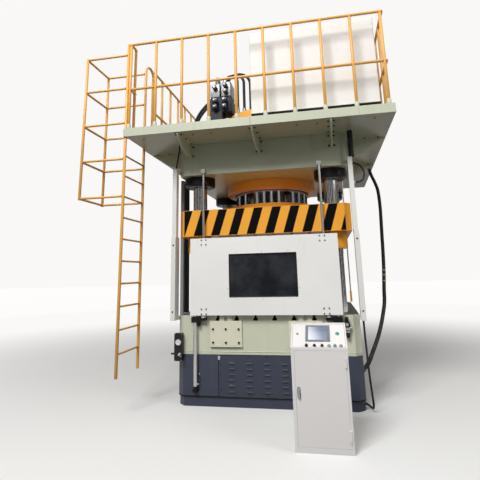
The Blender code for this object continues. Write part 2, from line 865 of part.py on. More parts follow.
def bed_cover(root, side, name):
    low = SKIRT_TOP + COVER_RISE
    high = low + COVER_HEIGHT
    half = COVER_WIDTH / 2
    middle = side * COVER_X
    outline = [(middle - half, low), (middle + half, low), (middle + half, high)]
    for lug in (LUG_PITCH / 2, -LUG_PITCH / 2):
        outline += [
            (middle + lug + LUG_WIDTH / 2, high),
            (middle + lug + LUG_WIDTH / 2, BED_TOP),
            (middle + lug - LUG_WIDTH / 2, BED_TOP),
            (middle + lug - LUG_WIDTH / 2, high),
        ]
    outline.append((middle - half, high))
    cover = plate("XZ", outline, -BED_FRONT - COVER_THICKNESS, -BED_FRONT - SEAT_GAP)
    node(name, cover, (CREAM, 0.5), root)


def column(root, place, x, y):
    low = BED_TOP - COLUMN_SOCKET
    high = CROWN_BOTTOM + COLUMN_SOCKET
    pillar = upright(x, y, low, high, COLUMN_RADIUS, COLUMN_SIDES)
    node(f"column_{place}", pillar, (CHROME, 0.12, 1.0), root)


def column_collar(root, place, x, y):
    high = CROWN_BOTTOM - SEAT_GAP
    low = high - COLLAR_HEIGHT
    bore = COLUMN_RADIUS + SEAT_GAP
    ring = turned(
        [
            (COLLAR_RADIUS, high),
            (COLLAR_RADIUS, low + COLLAR_EDGE),
            (COLLAR_RADIUS - COLLAR_EDGE, low),
            (bore, low),
            (bore, high),
        ],
        (x, y, 0.0), COLUMN_SIDES, closed=True,
    )
    node(f"column_collar_{place}", ring, (BLACK, 0.4, 0.3), root)


# Crown, main cylinder, ram and slide

def crown(root):
    block = plate("XY", chamfered(CROWN_FRONT), CROWN_BOTTOM, CROWN_TOP,
                  [circle(0.0, 0.0, BARREL_RADIUS + RUNNING_GAP, CYLINDER_SIDES)])
    sockets = [
        upright(x, y, CROWN_BOTTOM - OVERRUN, CROWN_BOTTOM + COLUMN_SOCKET + SEAT_GAP,
                COLUMN_RADIUS + SEAT_GAP, COLUMN_SIDES)
        for x, y in COLUMN_PLACES.values()
    ]
    joined(block, first_gland(LOOP_ROUTE, LOOP_RADIUS))
    cut(block, *sockets)
    node("crown", block, (CREAM, 0.5), root)


CYLINDER_MOUTH = CROWN_BOTTOM - RING_HEIGHT
HEAD_TOP = DECK_TOP + HEAD_HEIGHT


def main_cylinder(root):
    bore = RAM_RADIUS + RUNNING_GAP
    head_foot = DECK_TOP + SEAT_GAP
    ring_top = CROWN_BOTTOM - SEAT_GAP
    barrel = turned(
        [
            (0.0, HEAD_TOP),
            (HEAD_RADIUS - HEAD_EDGE, HEAD_TOP),
            (HEAD_RADIUS, HEAD_TOP - HEAD_EDGE),
            (HEAD_RADIUS, head_foot),
            (BARREL_RADIUS, head_foot),
            (BARREL_RADIUS, ring_top),
            (RING_RADIUS, ring_top),
            (RING_RADIUS, CYLINDER_MOUTH),
            (bore, CYLINDER_MOUTH),
            (bore, HEAD_TOP - HEAD_LID),
            (0.0, HEAD_TOP - HEAD_LID),
        ],
        (0.0, 0.0, 0.0), CYLINDER_SIDES,
    )
    node("main_cylinder", barrel, (YELLOW, 0.45), root)


def main_ram(carrier):
    low = DISC_TOP + SEAT_GAP
    high = CYLINDER_MOUTH + SLIDE_STROKE + RAM_GUIDE
    ram = turned(
        [
            (0.0, high),
            (RAM_RADIUS - RAM_CHAMFER, high),
            (RAM_RADIUS, high - RAM_CHAMFER),
            (RAM_RADIUS, low),
            (0.0, low),
        ],
        (0.0, 0.0, 0.0), CYLINDER_SIDES,
    )
    node("main_ram", ram, (CHROME, 0.12, 1.0), carrier)


def slide(carrier):
    block = plate("XY", chamfered(SLIDE_FRONT), SLIDE_BOTTOM, SLIDE_TOP)
    disc = upright(0.0, 0.0, SLIDE_TOP - SINK, DISC_TOP, DISC_RADIUS, CYLINDER_SIDES)
    bushes = [
        upright(x, y, SLIDE_BOTTOM - BUSH_DROP, SLIDE_BOTTOM + SINK, BUSH_RADIUS, COLUMN_SIDES)
        for x, y in COLUMN_PLACES.values()
    ]
    joined(block, disc, *bushes)
    bores = [
        upright(x, y, SLIDE_BOTTOM - BUSH_DROP - OVERRUN, SLIDE_TOP + OVERRUN,
                COLUMN_RADIUS + RUNNING_GAP, COLUMN_SIDES)
        for x, y in COLUMN_PLACES.values()
    ]
    scale_hole = upright(SCALE_ROD_X, SCALE_ROD_Y, SLIDE_BOTTOM - OVERRUN, SLIDE_TOP + OVERRUN,
                         SCALE_HOLE_RADIUS, ROD_SIDES)
    cut(block, *t_slots(SLIDE_BOTTOM, -1, -SLIDE_FRONT + SLIDE_SLOT_MARGIN), *bores, scale_hole)
    node("slide", block, (YELLOW, 0.45), carrier)


def position_rod(root):
    low = BED_TOP + SCALE_ROD_BOTTOM
    high = CROWN_BOTTOM - SEAT_GAP
    rod = upright(SCALE_ROD_X, SCALE_ROD_Y, low, high, SCALE_ROD_RADIUS, RAIL_SIDES)
    foot = upright(SCALE_ROD_X, SCALE_ROD_Y, high - SCALE_FOOT_HEIGHT, high, SCALE_FOOT_RADIUS, RAIL_SIDES)
    half = SCALE_STRIP_WIDTH / 2
    strip = box(
        (SCALE_ROD_X - half, SCALE_ROD_Y - SCALE_ROD_RADIUS - SINK, low),
        (SCALE_ROD_X + half, SCALE_ROD_Y, low + SCALE_STRIP_HEIGHT),
    )
    node("position_rod", joined(rod, foot, strip), (STEEL, 0.3, 1.0), root)


# Guard door, its guides and its lifting cylinders

DOOR_BOTTOM = BED_TOP + DOOR_RISE
DOOR_TOP = DOOR_BOTTOM + DOOR_HEIGHT
DOOR_BACK = DOOR_FRONT - DOOR_THICKNESS
WINDOW_BOTTOM = DOOR_BOTTOM + WINDOW_RISE
WINDOW_TOP = WINDOW_BOTTOM + WINDOW_HEIGHT
LIFT_TOP = BED_TOP - LIFT_DROP
PISTON_BOTTOM = LIFT_BOTTOM + LIFT_WALL + PISTON_FLOAT
LUG_BOTTOM = DOOR_BOTTOM + SINK * 2
GUIDE_BOTTOM = BED_TOP - GUIDE_TAIL


def guard_door(carrier):
    half = WINDOW_HALF_WIDTH
    opening = [(-half, WINDOW_BOTTOM), (half, WINDOW_BOTTOM), (half, WINDOW_TOP), (-half, WINDOW_TOP)]
    side = DOOR_HALF_WIDTH
    outline = [(-side, DOOR_BOTTOM), (side, DOOR_BOTTOM), (side, DOOR_TOP), (-side, DOOR_TOP)]
    sheet = plate("XZ", outline, -DOOR_FRONT, -DOOR_BACK, [opening])
    extras = []
    bores = []
    for sign in (-1, 1):
        rim = sorted((sign * (side - DOOR_RIM_WIDTH), sign * side))
        extras.append(box((rim[0], -DOOR_BACK - SINK, DOOR_BOTTOM),
                          (rim[1], -DOOR_BACK + DOOR_RIM_DEPTH, DOOR_TOP)))
        x = sign * GUIDE_X
        block_back = -GUIDE_Y + GUIDE_RADIUS + RUNNING_GAP + BLOCK_WALL
        for low in (DOOR_BOTTOM + BLOCK_MARGIN, DOOR_TOP - BLOCK_MARGIN - BLOCK_HEIGHT):
            extras.append(box((x - BLOCK_WIDTH / 2, -DOOR_BACK - SINK, low),
                              (x + BLOCK_WIDTH / 2, block_back, low + BLOCK_HEIGHT)))
            bores.append(upright(x, -GUIDE_Y, low - OVERRUN / 2, low + BLOCK_HEIGHT + OVERRUN / 2,
                                 GUIDE_RADIUS + RUNNING_GAP, ROD_SIDES))
        lug = sign * LIFT_X
        extras.append(box((lug - LIFT_LUG_WIDTH / 2, -DOOR_BACK - SINK, LUG_BOTTOM),
                          (lug + LIFT_LUG_WIDTH / 2, -LIFT_Y + LIFT_ROD * 2, LUG_BOTTOM + LIFT_LUG_HEIGHT)))
    joined(sheet, *extras)
    rebate = box(
        (-half - WINDOW_LIP, -DOOR_FRONT + (DOOR_THICKNESS - PANE_THICKNESS), WINDOW_BOTTOM - WINDOW_LIP),
        (half + WINDOW_LIP, -DOOR_BACK + OVERRUN, WINDOW_TOP + WINDOW_LIP),
    )
    cut(sheet, *bores, rebate)
    node("guard_door", sheet, (WHITE, 0.5), carrier)


def door_window(carrier):
    reach = WINDOW_LIP - SEAT_GAP
    pane = box(
        (-WINDOW_HALF_WIDTH - reach, -DOOR_FRONT + (DOOR_THICKNESS - PANE_THICKNESS) + SEAT_GAP,
         WINDOW_BOTTOM - reach),
        (WINDOW_HALF_WIDTH + reach, -DOOR_BACK, WINDOW_TOP + reach),
    )
    node("door_window", pane, (SMOKE, 0.1, 0.0, 0.75), carrier)


def guide_rod(root, side, name):
    x = side * GUIDE_X
    high = CROWN_BOTTOM + GUIDE_TOP
    rod = upright(x, -GUIDE_Y, GUIDE_BOTTOM, high, GUIDE_RADIUS, ROD_SIDES)
    half = GUIDE_CLAMP_WIDTH / 2
    clamp = box(
        (x - half, -GUIDE_Y - GUIDE_RADIUS - GUIDE_CLAMP_WALL, high - GUIDE_CLAMP_DROP),
        (x + half, -CROWN_FRONT - SEAT_GAP, high + GUIDE_CLAMP_RISE),
    )
    node(name, joined(rod, clamp), (STEEL, 0.25, 1.0), root)


def lower_bracket(root, side, name):
    """The angle on the bed's front that holds the head of a lifting cylinder and the foot of a guide rod."""
    low = BED_TOP - BRACKET_DROP
    edges = sorted((side * (LIFT_X - BRACKET_INNER), side * (LIFT_X + BRACKET_OUTER)))
    block = box((edges[0], -LIFT_Y - BRACKET_WALL, low),
                (edges[1], -BED_FRONT - SEAT_GAP, low + BRACKET_HEIGHT))
    arm_low = BED_TOP - ARM_DROP - ARM_HEIGHT
    arm_edges = sorted((side * (GUIDE_X - BRACKET_WALL), side * (LIFT_X - BRACKET_INNER + SINK)))
    arm = box((arm_edges[0], -GUIDE_Y - BRACKET_WALL + GUIDE_CLAMP_WALL, arm_low),
              (arm_edges[1], -BED_FRONT - SEAT_GAP, arm_low + ARM_HEIGHT))
    joined(block, arm)
    socket = upright(side * LIFT_X, -LIFT_Y, low - OVERRUN, LIFT_TOP + SEAT_GAP,
                     LIFT_RADIUS + SEAT_GAP, ROD_SIDES)
    way = upright(side * LIFT_X, -LIFT_Y, LIFT_TOP, low + BRACKET_HEIGHT + OVERRUN,
                  LIFT_ROD + RUNNING_GAP, ROD_SIDES)
    foot = upright(side * GUIDE_X, -GUIDE_Y, arm_low - OVERRUN, arm_low + ARM_HEIGHT + OVERRUN,
                   GUIDE_RADIUS + SEAT_GAP, ROD_SIDES)
    node(name, cut(block, socket, way, foot), (BLACK, 0.5, 0.3), root)


def lift_cylinder(root, side, name):
    way = LIFT_ROD + RUNNING_GAP
    barrel = turned(
        [
            (0.0, LIFT_BOTTOM + LIFT_WALL),
            (LIFT_BORE, LIFT_BOTTOM + LIFT_WALL),
            (LIFT_BORE, LIFT_TOP - LIFT_WALL),
            (way, LIFT_TOP - LIFT_WALL),
            (way, LIFT_TOP),
            (LIFT_RADIUS, LIFT_TOP),
            (LIFT_RADIUS, LIFT_BOTTOM),
            (0.0, LIFT_BOTTOM),
        ],
        (side * LIFT_X, -LIFT_Y, 0.0), ROD_SIDES,
    )
    half = LIFT_FOOT_WIDTH / 2
    foot = box(
        (side * LIFT_X - half, -LIFT_Y - LIFT_RADIUS - SINK, LIFT_BOTTOM - LIFT_FOOT_HEIGHT),
        (side * LIFT_X + half, -BED_FRONT - SEAT_GAP, LIFT_BOTTOM + SINK),
    )
    node(name, joined(barrel, foot), (STEEL, 0.3, 1.0), root)


def lift_rod(carrier, side, name):
    high = LUG_BOTTOM - SEAT_GAP
    piston = LIFT_BORE - SEAT_GAP
    rod = turned(
        [
            (0.0, high),
            (LIFT_ROD, high),
            (LIFT_ROD, PISTON_BOTTOM + PISTON_HEIGHT),
            (piston, PISTON_BOTTOM + PISTON_HEIGHT),
            (piston, PISTON_BOTTOM),
            (0.0, PISTON_BOTTOM),
        ],
        (side * LIFT_X, -LIFT_Y, 0.0), ROD_SIDES,
    )
    node(name, rod, (CHROME, 0.15, 1.0), carrier)


# Posts, bar, duct, gauge box and air valve

def side_post(root, side, name, glands):
    bottom = BED_TOP - POST_DROP
    joint = BED_TOP + POST_JOINT_RISE
    top = CROWN_BOTTOM + POST_RISE
    low_x = sorted((side * POST_LOW_INNER, side * (POST_LOW_INNER + POST_LOW_WIDTH)))
    top_x = sorted((side * POST_TOP_INNER, side * (POST_TOP_INNER + POST_TOP_WIDTH)))
    lower = box((low_x[0], -POST_FRONT, bottom), (low_x[1], -POST_FRONT + POST_LOW_DEPTH, joint))
    upper = box((top_x[0], -POST_FRONT + SINK, joint - SINK), (top_x[1], -POST_FRONT + POST_TOP_DEPTH, top))
    arm_inner = BODY_SIDE + SEAT_GAP
    plate_x = sorted((side * arm_inner, side * (arm_inner + POST_ARM_THICKNESS + SINK)))
    pieces = [upper]
    for depth, low in ((POST_LOW_DEPTH, bottom), (POST_TOP_DEPTH, top - POST_ARM_HEIGHT)):
        start = -POST_FRONT + depth - SINK * 2
        pieces.append(box((plate_x[0], start, low),
                          (plate_x[1], start + POST_ARM_LENGTH, low + POST_ARM_HEIGHT)))
    node(name, joined(lower, *pieces, *glands), (WHITE, 0.5), root)


def side_arms(root, name, x, y, size, look):
    """A square upright beside the press, held by an arm on the bed's side and one on the crown's side."""
    low = BED_TOP - BAR_FOOT_DROP
    high = CROWN_BOTTOM + BAR_HEAD_RISE
    upright_bar = box((x - size / 2, y - size / 2, low), (x + size / 2, y + size / 2, high))
    half = SIDE_ARM_SIZE / 2
    arms = [
        box((x, y - half, arm_low), (-BODY_SIDE - SEAT_GAP, y + half, arm_low + SIDE_ARM_SIZE))
        for arm_low in (low + SIDE_ARM_DROP / 2, high - SIDE_ARM_DROP / 2 - SIDE_ARM_SIZE)
    ]
    node(name, joined(upright_bar, *arms), look, root)


def gauge_panel(root):
    low = SKIRT_TOP - GAUGE_BOX_DROP
    front = -GAUGE_BOX_BACK - GAUGE_BOX_DEPTH
    case = box((-GAUGE_BOX_INNER - GAUGE_BOX_WIDTH, front, low),
               (-GAUGE_BOX_INNER, -GAUGE_BOX_BACK, low + GAUGE_BOX_RISE))
    gauge_z = SKIRT_TOP + GAUGE_RISE
    dial = bar((-GAUGE_X, front + SINK, gauge_z), (-GAUGE_X, front - GAUGE_DEPTH, gauge_z),
               GAUGE_RADIUS, ROD_SIDES)
    cock_z = SKIRT_TOP + COCK_RISE
    cock = bar((-COCK_X, front + SINK, cock_z), (-COCK_X, front - COCK_LENGTH, cock_z),
               COCK_RADIUS, RAIL_SIDES)
    stub_x = -GAUGE_BOX_INNER - GAUGE_BOX_WIDTH
    stub_y = front + GAUGE_BOX_DEPTH / 2
    stub = bar((stub_x + SINK, stub_y, cock_z), (stub_x - COCK_LENGTH, stub_y, cock_z),
               COCK_RADIUS, RAIL_SIDES)
    face = BED_FRONT - BODY_CHAMFER + BODY_SIDE + SEAT_GAP * math.sqrt(2)
    inner = GAUGE_BOX_INNER + GAUGE_BOX_WIDTH * GAUGE_WEDGE_SHARES[0]
    outer = GAUGE_BOX_INNER + GAUGE_BOX_WIDTH * GAUGE_WEDGE_SHARES[1]
    outline = [
        (-outer, outer - face),
        (-outer, -GAUGE_BOX_BACK - SINK),
        (-inner, -GAUGE_BOX_BACK - SINK),
        (-inner, inner - face),
    ]
    wedge = plate("XY", outline, SKIRT_TOP + SIDE_ARM_SIZE, SKIRT_TOP + SIDE_ARM_SIZE * 3)
    node("gauge_panel", joined(case, dial, cock, stub, wedge), (BLACK, 0.5), root)


def air_valve(root):
    high = BED_TOP - AIR_DROP
    low = high - AIR_HEIGHT
    half = AIR_WIDTH / 2
    case = box((AIR_X - half, -BED_FRONT - AIR_DEPTH, low), (AIR_X + half, -BED_FRONT - SEAT_GAP, high))
    y = -BED_FRONT - AIR_BOWL_REACH
    bowl = upright(AIR_X, y, low - AIR_BOWL_HEIGHT, low + SINK, AIR_BOWL_RADIUS, AIR_SIDES)
    knob = upright(AIR_X, y, high - SINK, high + AIR_KNOB_HEIGHT, AIR_KNOB_RADIUS, AIR_SIDES)
    node("air_valve", joined(case, bowl, knob), (BLACK, 0.4), root)


# Deck with its gussets, and the railings

def gusset_outline(face, reach, depth, shares, facing, sink=0.0):
    """A web's outline: the crown's face, the curved lower edge, then the deck's underside."""
    top = CROWN_TOP - SEAT_GAP + sink
    lower = [(facing * (face + reach * out), top - depth * down) for out, down in shares]
    return [(facing * face, top), *lower, (facing * (face + reach), top)]


def floor_seams():
    """Grooves between the floor plates: round their outer edge, down the middle and across."""
    half = FLOOR_SEAM_WIDTH / 2
    low, high = DECK_TOP - FLOOR_SEAM_DEPTH, DECK_TOP + OVERRUN
    side = DECK_SIDE - FLOOR_BORDER
    front, back = -DECK_FRONT + FLOOR_BORDER, DECK_BACK - FLOOR_BORDER
    shapes = []
    for x in (-side, side):
        shapes.append(box((x - half, front - half, low), (x + half, back + half, high)))
    for y in (front, -FLOOR_SEAM_Y, FLOOR_SEAM_Y, back):
        shapes.append(box((-side, y - half, low), (side, y + half, high)))
    middle = box((FLOOR_SEAM_X - half, front, low), (FLOOR_SEAM_X + half, back, high))
    return joined(middle, *shapes)


def deck(root):
    side, front, back = DECK_SIDE, -DECK_FRONT, DECK_BACK
    notch_front = front + FASCIA_THICKNESS
    outline = [
        (-side, front),
        (side, front),
        (side, back),
        (-side, back),
        (-side, -NOTCH_BACK),
        (-side + NOTCH_DEPTH, -NOTCH_BACK),
        (-side + NOTCH_DEPTH, notch_front),
        (-side, notch_front),
    ]
    low = CROWN_TOP + SEAT_GAP
    barrel_way = circle(0.0, 0.0, BARREL_RADIUS + RUNNING_GAP, CYLINDER_SIDES)
    floor = plate("XY", outline, low, DECK_TOP, [barrel_way])
    webs = []
    reach = DECK_SIDE - BODY_SIDE - GUSSET_END_MARGIN
    half = GUSSET_THICKNESS / 2
    for y in SIDE_GUSSET_Y:
        for facing in (-1, 1):
            outline = gusset_outline(BODY_SIDE + SEAT_GAP, reach, SIDE_GUSSET_DEPTH,
                                     SIDE_GUSSET_SHARES, facing, SINK)
            webs.append(plate("XZ", outline, y - half, y + half))
    reach = DECK_BACK - BODY_BACK - REAR_GUSSET_MARGIN
    for x in (-GUSSET_X, 0.0, GUSSET_X):
        outline = gusset_outline(BODY_BACK + SEAT_GAP, reach, REAR_GUSSET_DEPTH,
                                 SIDE_GUSSET_SHARES, 1, SINK)
        webs.append(plate("YZ", outline, x - half, x + half))
    glands = [
        first_gland(POWER_HOSE_ROUTE, POWER_HOSE_RADIUS),
        first_gland(POST_CABLE_ROUTE, POST_CABLE_RADIUS),
    ]
    node("deck", joined(cut(floor, floor_seams()), *webs, *glands), (CREAM, 0.5), root)


def front_gusset(root, x, name):
    """A web with a flange under the deck and one on the crown's front."""
    reach = DECK_FRONT - CROWN_FRONT - GUSSET_END_MARGIN
    top = CROWN_TOP - SEAT_GAP
    shares = [(1 - out, down) for out, down in FRONT_GUSSET_SHARES]
    outline = gusset_outline(CROWN_FRONT + SEAT_GAP, reach, GUSSET_DEPTH, shares, -1)
    half = GUSSET_THICKNESS / 2
    web = plate("YZ", outline, x - half, x + half)
    flange_half = GUSSET_FLANGE_WIDTH / 2
    seat = -CROWN_FRONT - SEAT_GAP
    under_deck = box((x - flange_half, -CROWN_FRONT - GUSSET_FLANGE_REACH, top - GUSSET_FLANGE_THICKNESS),
                     (x + flange_half, seat, top))
    on_crown = box((x - flange_half, seat - GUSSET_FLANGE_THICKNESS, top - GUSSET_FLANGE_DROP),
                   (x + flange_half, seat, top))
    node(name, joined(web, under_deck, on_crown), (CREAM, 0.5), root)


RAIL_TOP_Z = DECK_TOP + RAIL_TOP
RAIL_MIDDLE_Z = DECK_TOP + RAIL_MIDDLE
RAIL_X = DECK_SIDE - RAIL_SIDE_INSET
RAIL_FRONT_Y = -DECK_FRONT + RAIL_FRONT_INSET
RAIL_BACK_Y = DECK_BACK - RAIL_FRONT_INSET


def railing(root, name, places, runs):
    """Posts at the places, and a top and a middle rail along each run."""
    foot = DECK_TOP + SEAT_GAP
    shapes = []
    for x, y in places:
        shapes.append(upright(x, y, foot, RAIL_TOP_Z - SINK, RAIL_RADIUS, RAIL_SIDES))
    for start, end, radius in runs:
        for z in (RAIL_TOP_Z, RAIL_MIDDLE_Z):
            shapes.append(bar((*start, z), (*end, z), radius, RAIL_SIDES))
    top = shapes.pop()
    node(name, joined(top, *shapes), (RAIL_YELLOW, 0.45), root)


def railings(root):
    width = (RAIL_POST_COUNT - 1) * RAIL_POST_PITCH
    xs = [i * RAIL_POST_PITCH - width / 2 for i in range(RAIL_POST_COUNT)]
    leg = RAIL_FRONT_Y + RETURN_LENGTH
    front_places = [(x, RAIL_FRONT_Y) for x in xs]
    corner = xs[0]
    at_stile = LADDER_X + RAIL_RADIUS + SEAT_GAP
    railing(root, "front_railing", [*front_places, (corner, leg)],
            [((at_stile, RAIL_FRONT_Y), (RAIL_X, RAIL_FRONT_Y), RAIL_BAR_RADIUS),
             ((corner, RAIL_FRONT_Y), (corner, leg), RETURN_RADIUS)])
    rear_places = [(x, RAIL_BACK_Y) for x in xs]
    railing(root, "rear_railing", rear_places,
            [((-RAIL_X, RAIL_BACK_Y), (RAIL_X, RAIL_BACK_Y), RAIL_BAR_RADIUS)])
    front = RAIL_FRONT_Y + RAIL_RADIUS + SEAT_GAP
    back = RAIL_BACK_Y - RAIL_RADIUS - SEAT_GAP
    right_places = [(RAIL_X, RAIL_FRONT_Y + (i + 1) * RAIL_SIDE_PITCH) for i in range(RIGHT_POSTS)]
    railing(root, "right_railing", right_places, [((RAIL_X, front), (RAIL_X, back), RAIL_BAR_RADIUS)])
    descent = LADDER_DESCENT_Y
    left_places = [(-RAIL_X, descent + (i + 1) * RAIL_SIDE_PITCH) for i in range(LEFT_POSTS)]
    start = descent + RAIL_RADIUS + SEAT_GAP
    railing(root, "left_railing", left_places, [((-RAIL_X, start), (-RAIL_X, back), RAIL_BAR_RADIUS)])


# Ladder and cage

LADDER_FAR_Y = LADDER_NEAR_Y + LADDER_WIDTH
LADDER_DESCENT_Y = LADDER_FAR_Y + 2 * LADDER_BEND


def ladder(root):
    far_top = [(LADDER_X, LADDER_FAR_Y, LADDER_BOTTOM)]
    crest = RAIL_TOP_Z - LADDER_BEND
    middle = LADDER_FAR_Y + LADDER_BEND
    up = (0.0, 0.0, LADDER_BEND)
    lean = -RAIL_X - LADDER_X
    far_top += arc((LADDER_X + lean / 2, middle, crest), (-lean / 2, -LADDER_BEND, 0.0), up, 3)
    far_top += arc((LADDER_X + lean / 2, middle, crest), up, (lean / 2, LADDER_BEND, 0.0), 3)[1:]
    far_top.append((-RAIL_X, LADDER_DESCENT_Y, DECK_TOP + SEAT_GAP))
    far = as_mesh(tube("far", far_top, RAIL_RADIUS, RAIL_SIDES))
    near = upright(LADDER_X, LADDER_NEAR_Y, LADDER_BOTTOM, RAIL_TOP_Z + RAIL_RADIUS, RAIL_RADIUS, RAIL_SIDES)
    rungs = []
    for i in range(LADDER_RUNG_COUNT):
        z = LADDER_BOTTOM + LADDER_RUNG_FIRST + i * LADDER_RUNG_PITCH
        rungs.append(bar((LADDER_X, LADDER_NEAR_Y, z), (LADDER_X, LADDER_FAR_Y, z),
                         LADDER_RUNG_RADIUS, RAIL_SIDES))
    clips = []
    notch_face = -DECK_SIDE + NOTCH_DEPTH - SEAT_GAP
    for y in (LADDER_NEAR_Y + RAIL_RADIUS, LADDER_FAR_Y - RAIL_RADIUS):
        clips.append(box((LADDER_X, y - RAIL_RADIUS, CROWN_TOP + SINK),
                         (notch_face, y + RAIL_RADIUS, CROWN_TOP + SINK + LADDER_CLIP)))
    node("ladder", joined(far, near, *rungs, *clips), (RAIL_YELLOW, 0.45), root)


def ladder_cage(root):
    """Square hoops from stile to stile round the climber, with an upright at each outer corner."""
    inner = LADDER_X - RAIL_RADIUS - SEAT_GAP
    near, far, outer = LADDER_NEAR_Y, LADDER_FAR_Y, CAGE_OUTER_X
    low = LADDER_BOTTOM + CAGE_FIRST
    high = low + (CAGE_HOOPS - 1) * CAGE_PITCH
    shapes = []
    for i in range(CAGE_HOOPS):
        z = low + i * CAGE_PITCH
        for y in (near, far):
            shapes.append(bar((outer, y, z), (inner, y, z), CAGE_RADIUS, RAIL_SIDES))
        shapes.append(bar((outer, near, z), (outer, far, z), CAGE_RADIUS, RAIL_SIDES))
    for y in (near, far):
        shapes.append(upright(outer, y, low - CAGE_UPRIGHT_RADIUS, high + CAGE_UPRIGHT_RADIUS,
                              CAGE_UPRIGHT_RADIUS, RAIL_SIDES))
    first = shapes.pop()
    node("ladder_cage", joined(first, *shapes), (RAIL_YELLOW, 0.45), root)


# What stands on the deck

def pump_enclosure(root):
    low = DECK_TOP + ENCLOSURE_FOOT
    right = ENCLOSURE_LEFT + ENCLOSURE_WIDTH
    back = -ENCLOSURE_FRONT + ENCLOSURE_DEPTH
    case = box((ENCLOSURE_LEFT, -ENCLOSURE_FRONT, low), (right, back, low + ENCLOSURE_HEIGHT),
               ENCLOSURE_EDGE)
    feet = []
    size = ENCLOSURE_FOOT_SIZE
    for x in (ENCLOSURE_LEFT + size, ENCLOSURE_LEFT + ENCLOSURE_WIDTH / 2, right - size):
        for y in (-ENCLOSURE_FRONT + size, back - size):
            feet.append(box((x - size / 2, y - size / 2, DECK_TOP + SEAT_GAP),
                            (x + size / 2, y + size / 2, low + SINK)))
    joined(case, *feet)
    middle = ENCLOSURE_LEFT + ENCLOSURE_WIDTH / 2
    seam = box((middle - ENCLOSURE_SEAM / 2, back - ENCLOSURE_SEAM, low - OVERRUN),
               (middle + ENCLOSURE_SEAM / 2, back + OVERRUN, low + ENCLOSURE_HEIGHT + OVERRUN))
    node("pump_enclosure", cut(case, seam), (WHITE, 0.5), root)


def valve_block(root):
    half_w, half_d = VALVE_PEDESTAL_WIDTH / 2, VALVE_PEDESTAL_DEPTH / 2
    low = HEAD_TOP + VALVE_BLOCK_RISE
    high = low + VALVE_BLOCK_HEIGHT
    pedestal = box((VALVE_PEDESTAL_X - half_w, VALVE_PEDESTAL_Y - half_d, DECK_TOP + SEAT_GAP),
                   (VALVE_PEDESTAL_X + half_w, VALVE_PEDESTAL_Y + half_d, low + SINK))
    x, y = VALVE_BLOCK_X, VALVE_BLOCK_Y
    half_w, half_d = VALVE_BLOCK_WIDTH / 2, VALVE_BLOCK_DEPTH / 2
    manifold = box((x - half_w, y - half_d, low), (x + half_w, y + half_d, high))
    shapes = [manifold]
    front = y - half_d
    for column in (-1, 1):
        cap_x = x + column * CARTRIDGE_PITCH_X / 2
        for row in (0, 1, 2):
            z = low + VALVE_BLOCK_HEIGHT / 2 + (row - 1) * CARTRIDGE_PITCH_Z
            shapes.append(bar((cap_x, front + SINK, z), (cap_x, front - CARTRIDGE_LENGTH, z),
                              CARTRIDGE_RADIUS, PIPE_SIDES))
    shapes.append(upright(x - CARTRIDGE_PITCH_X / 2, y, high - SINK, high + CARTRIDGE_CAP_HEIGHT,
                          CARTRIDGE_RADIUS, PIPE_SIDES))
    for end_x, pipe_y in zip(PIPE_END_X, PIPE_Y):
        reach = (end_x - PIPE_START_X) / 2
        centre = (PIPE_START_X + reach, pipe_y, high)
        path = [(PIPE_START_X, pipe_y, high - SINK)]
        path += arc(centre, (-reach, 0.0, 0.0), (0.0, 0.0, reach), PIPE_ARC_STEPS)
        path += arc(centre, (0.0, 0.0, reach), (reach, 0.0, 0.0), PIPE_ARC_STEPS)[1:]
        path.append((end_x, pipe_y, HEAD_TOP + SEAT_GAP))
        shapes.append(as_mesh(tube("pipe", path, PIPE_RADIUS, PIPE_SIDES)))
        shapes.append(upright(end_x, pipe_y, HEAD_TOP + SEAT_GAP, HEAD_TOP + SEAT_GAP + FERRULE_HEIGHT,
                              FERRULE_RADIUS, PIPE_SIDES))
    hose_top = DECK_TOP + SEAT_GAP + SIDE_HOSE_RISE
    left = x - half_w
    for i in (0, 1):
        hose_y = y - HOSE_PITCH / 2 + i * HOSE_PITCH
        path = [(left + SINK, hose_y, hose_top)]
        path += [(left - SIDE_HOSE_REACH * out, hose_y, DECK_TOP + SEAT_GAP + SIDE_HOSE_RISE * up)
                 for out, up in SIDE_HOSE_SHARES]
        shapes.append(as_mesh(tube("hose", path, HOSE_RADIUS, PIPE_SIDES)))
    node("valve_block", joined(pedestal, *shapes), (GREY, 0.4, 0.6), root)


# Console

CONSOLE_BACK = CONSOLE_FRONT - CONSOLE_DEPTH
CONSOLE_TILT = math.atan2(CONSOLE_BACK_HEIGHT - CONSOLE_FRONT_HEIGHT, CONSOLE_SLOPE)
PANEL_CORNER = Matrix.Translation((CONSOLE_LEFT, -CONSOLE_FRONT, CONSOLE_FRONT_HEIGHT))
PANEL_FRAME = PANEL_CORNER @ Matrix.Rotation(CONSOLE_TILT, 4, "X")
DOOR_LEAF_LEFT = CONSOLE_LEFT + CONSOLE_DOOR_LEFT
CONSOLE_DOOR_X = (DOOR_LEAF_LEFT, DOOR_LEAF_LEFT + CONSOLE_DOOR_WIDTH)
HINGE_X = CONSOLE_DOOR_X[1] + HINGE_OFFSET
HINGE_Y = -CONSOLE_FRONT - HINGE_RADIUS - SEAT_GAP


def hinge_heights():
    return (CONSOLE_DOOR_BOTTOM + HINGE_MARGIN, CONSOLE_DOOR_TOP - HINGE_MARGIN)


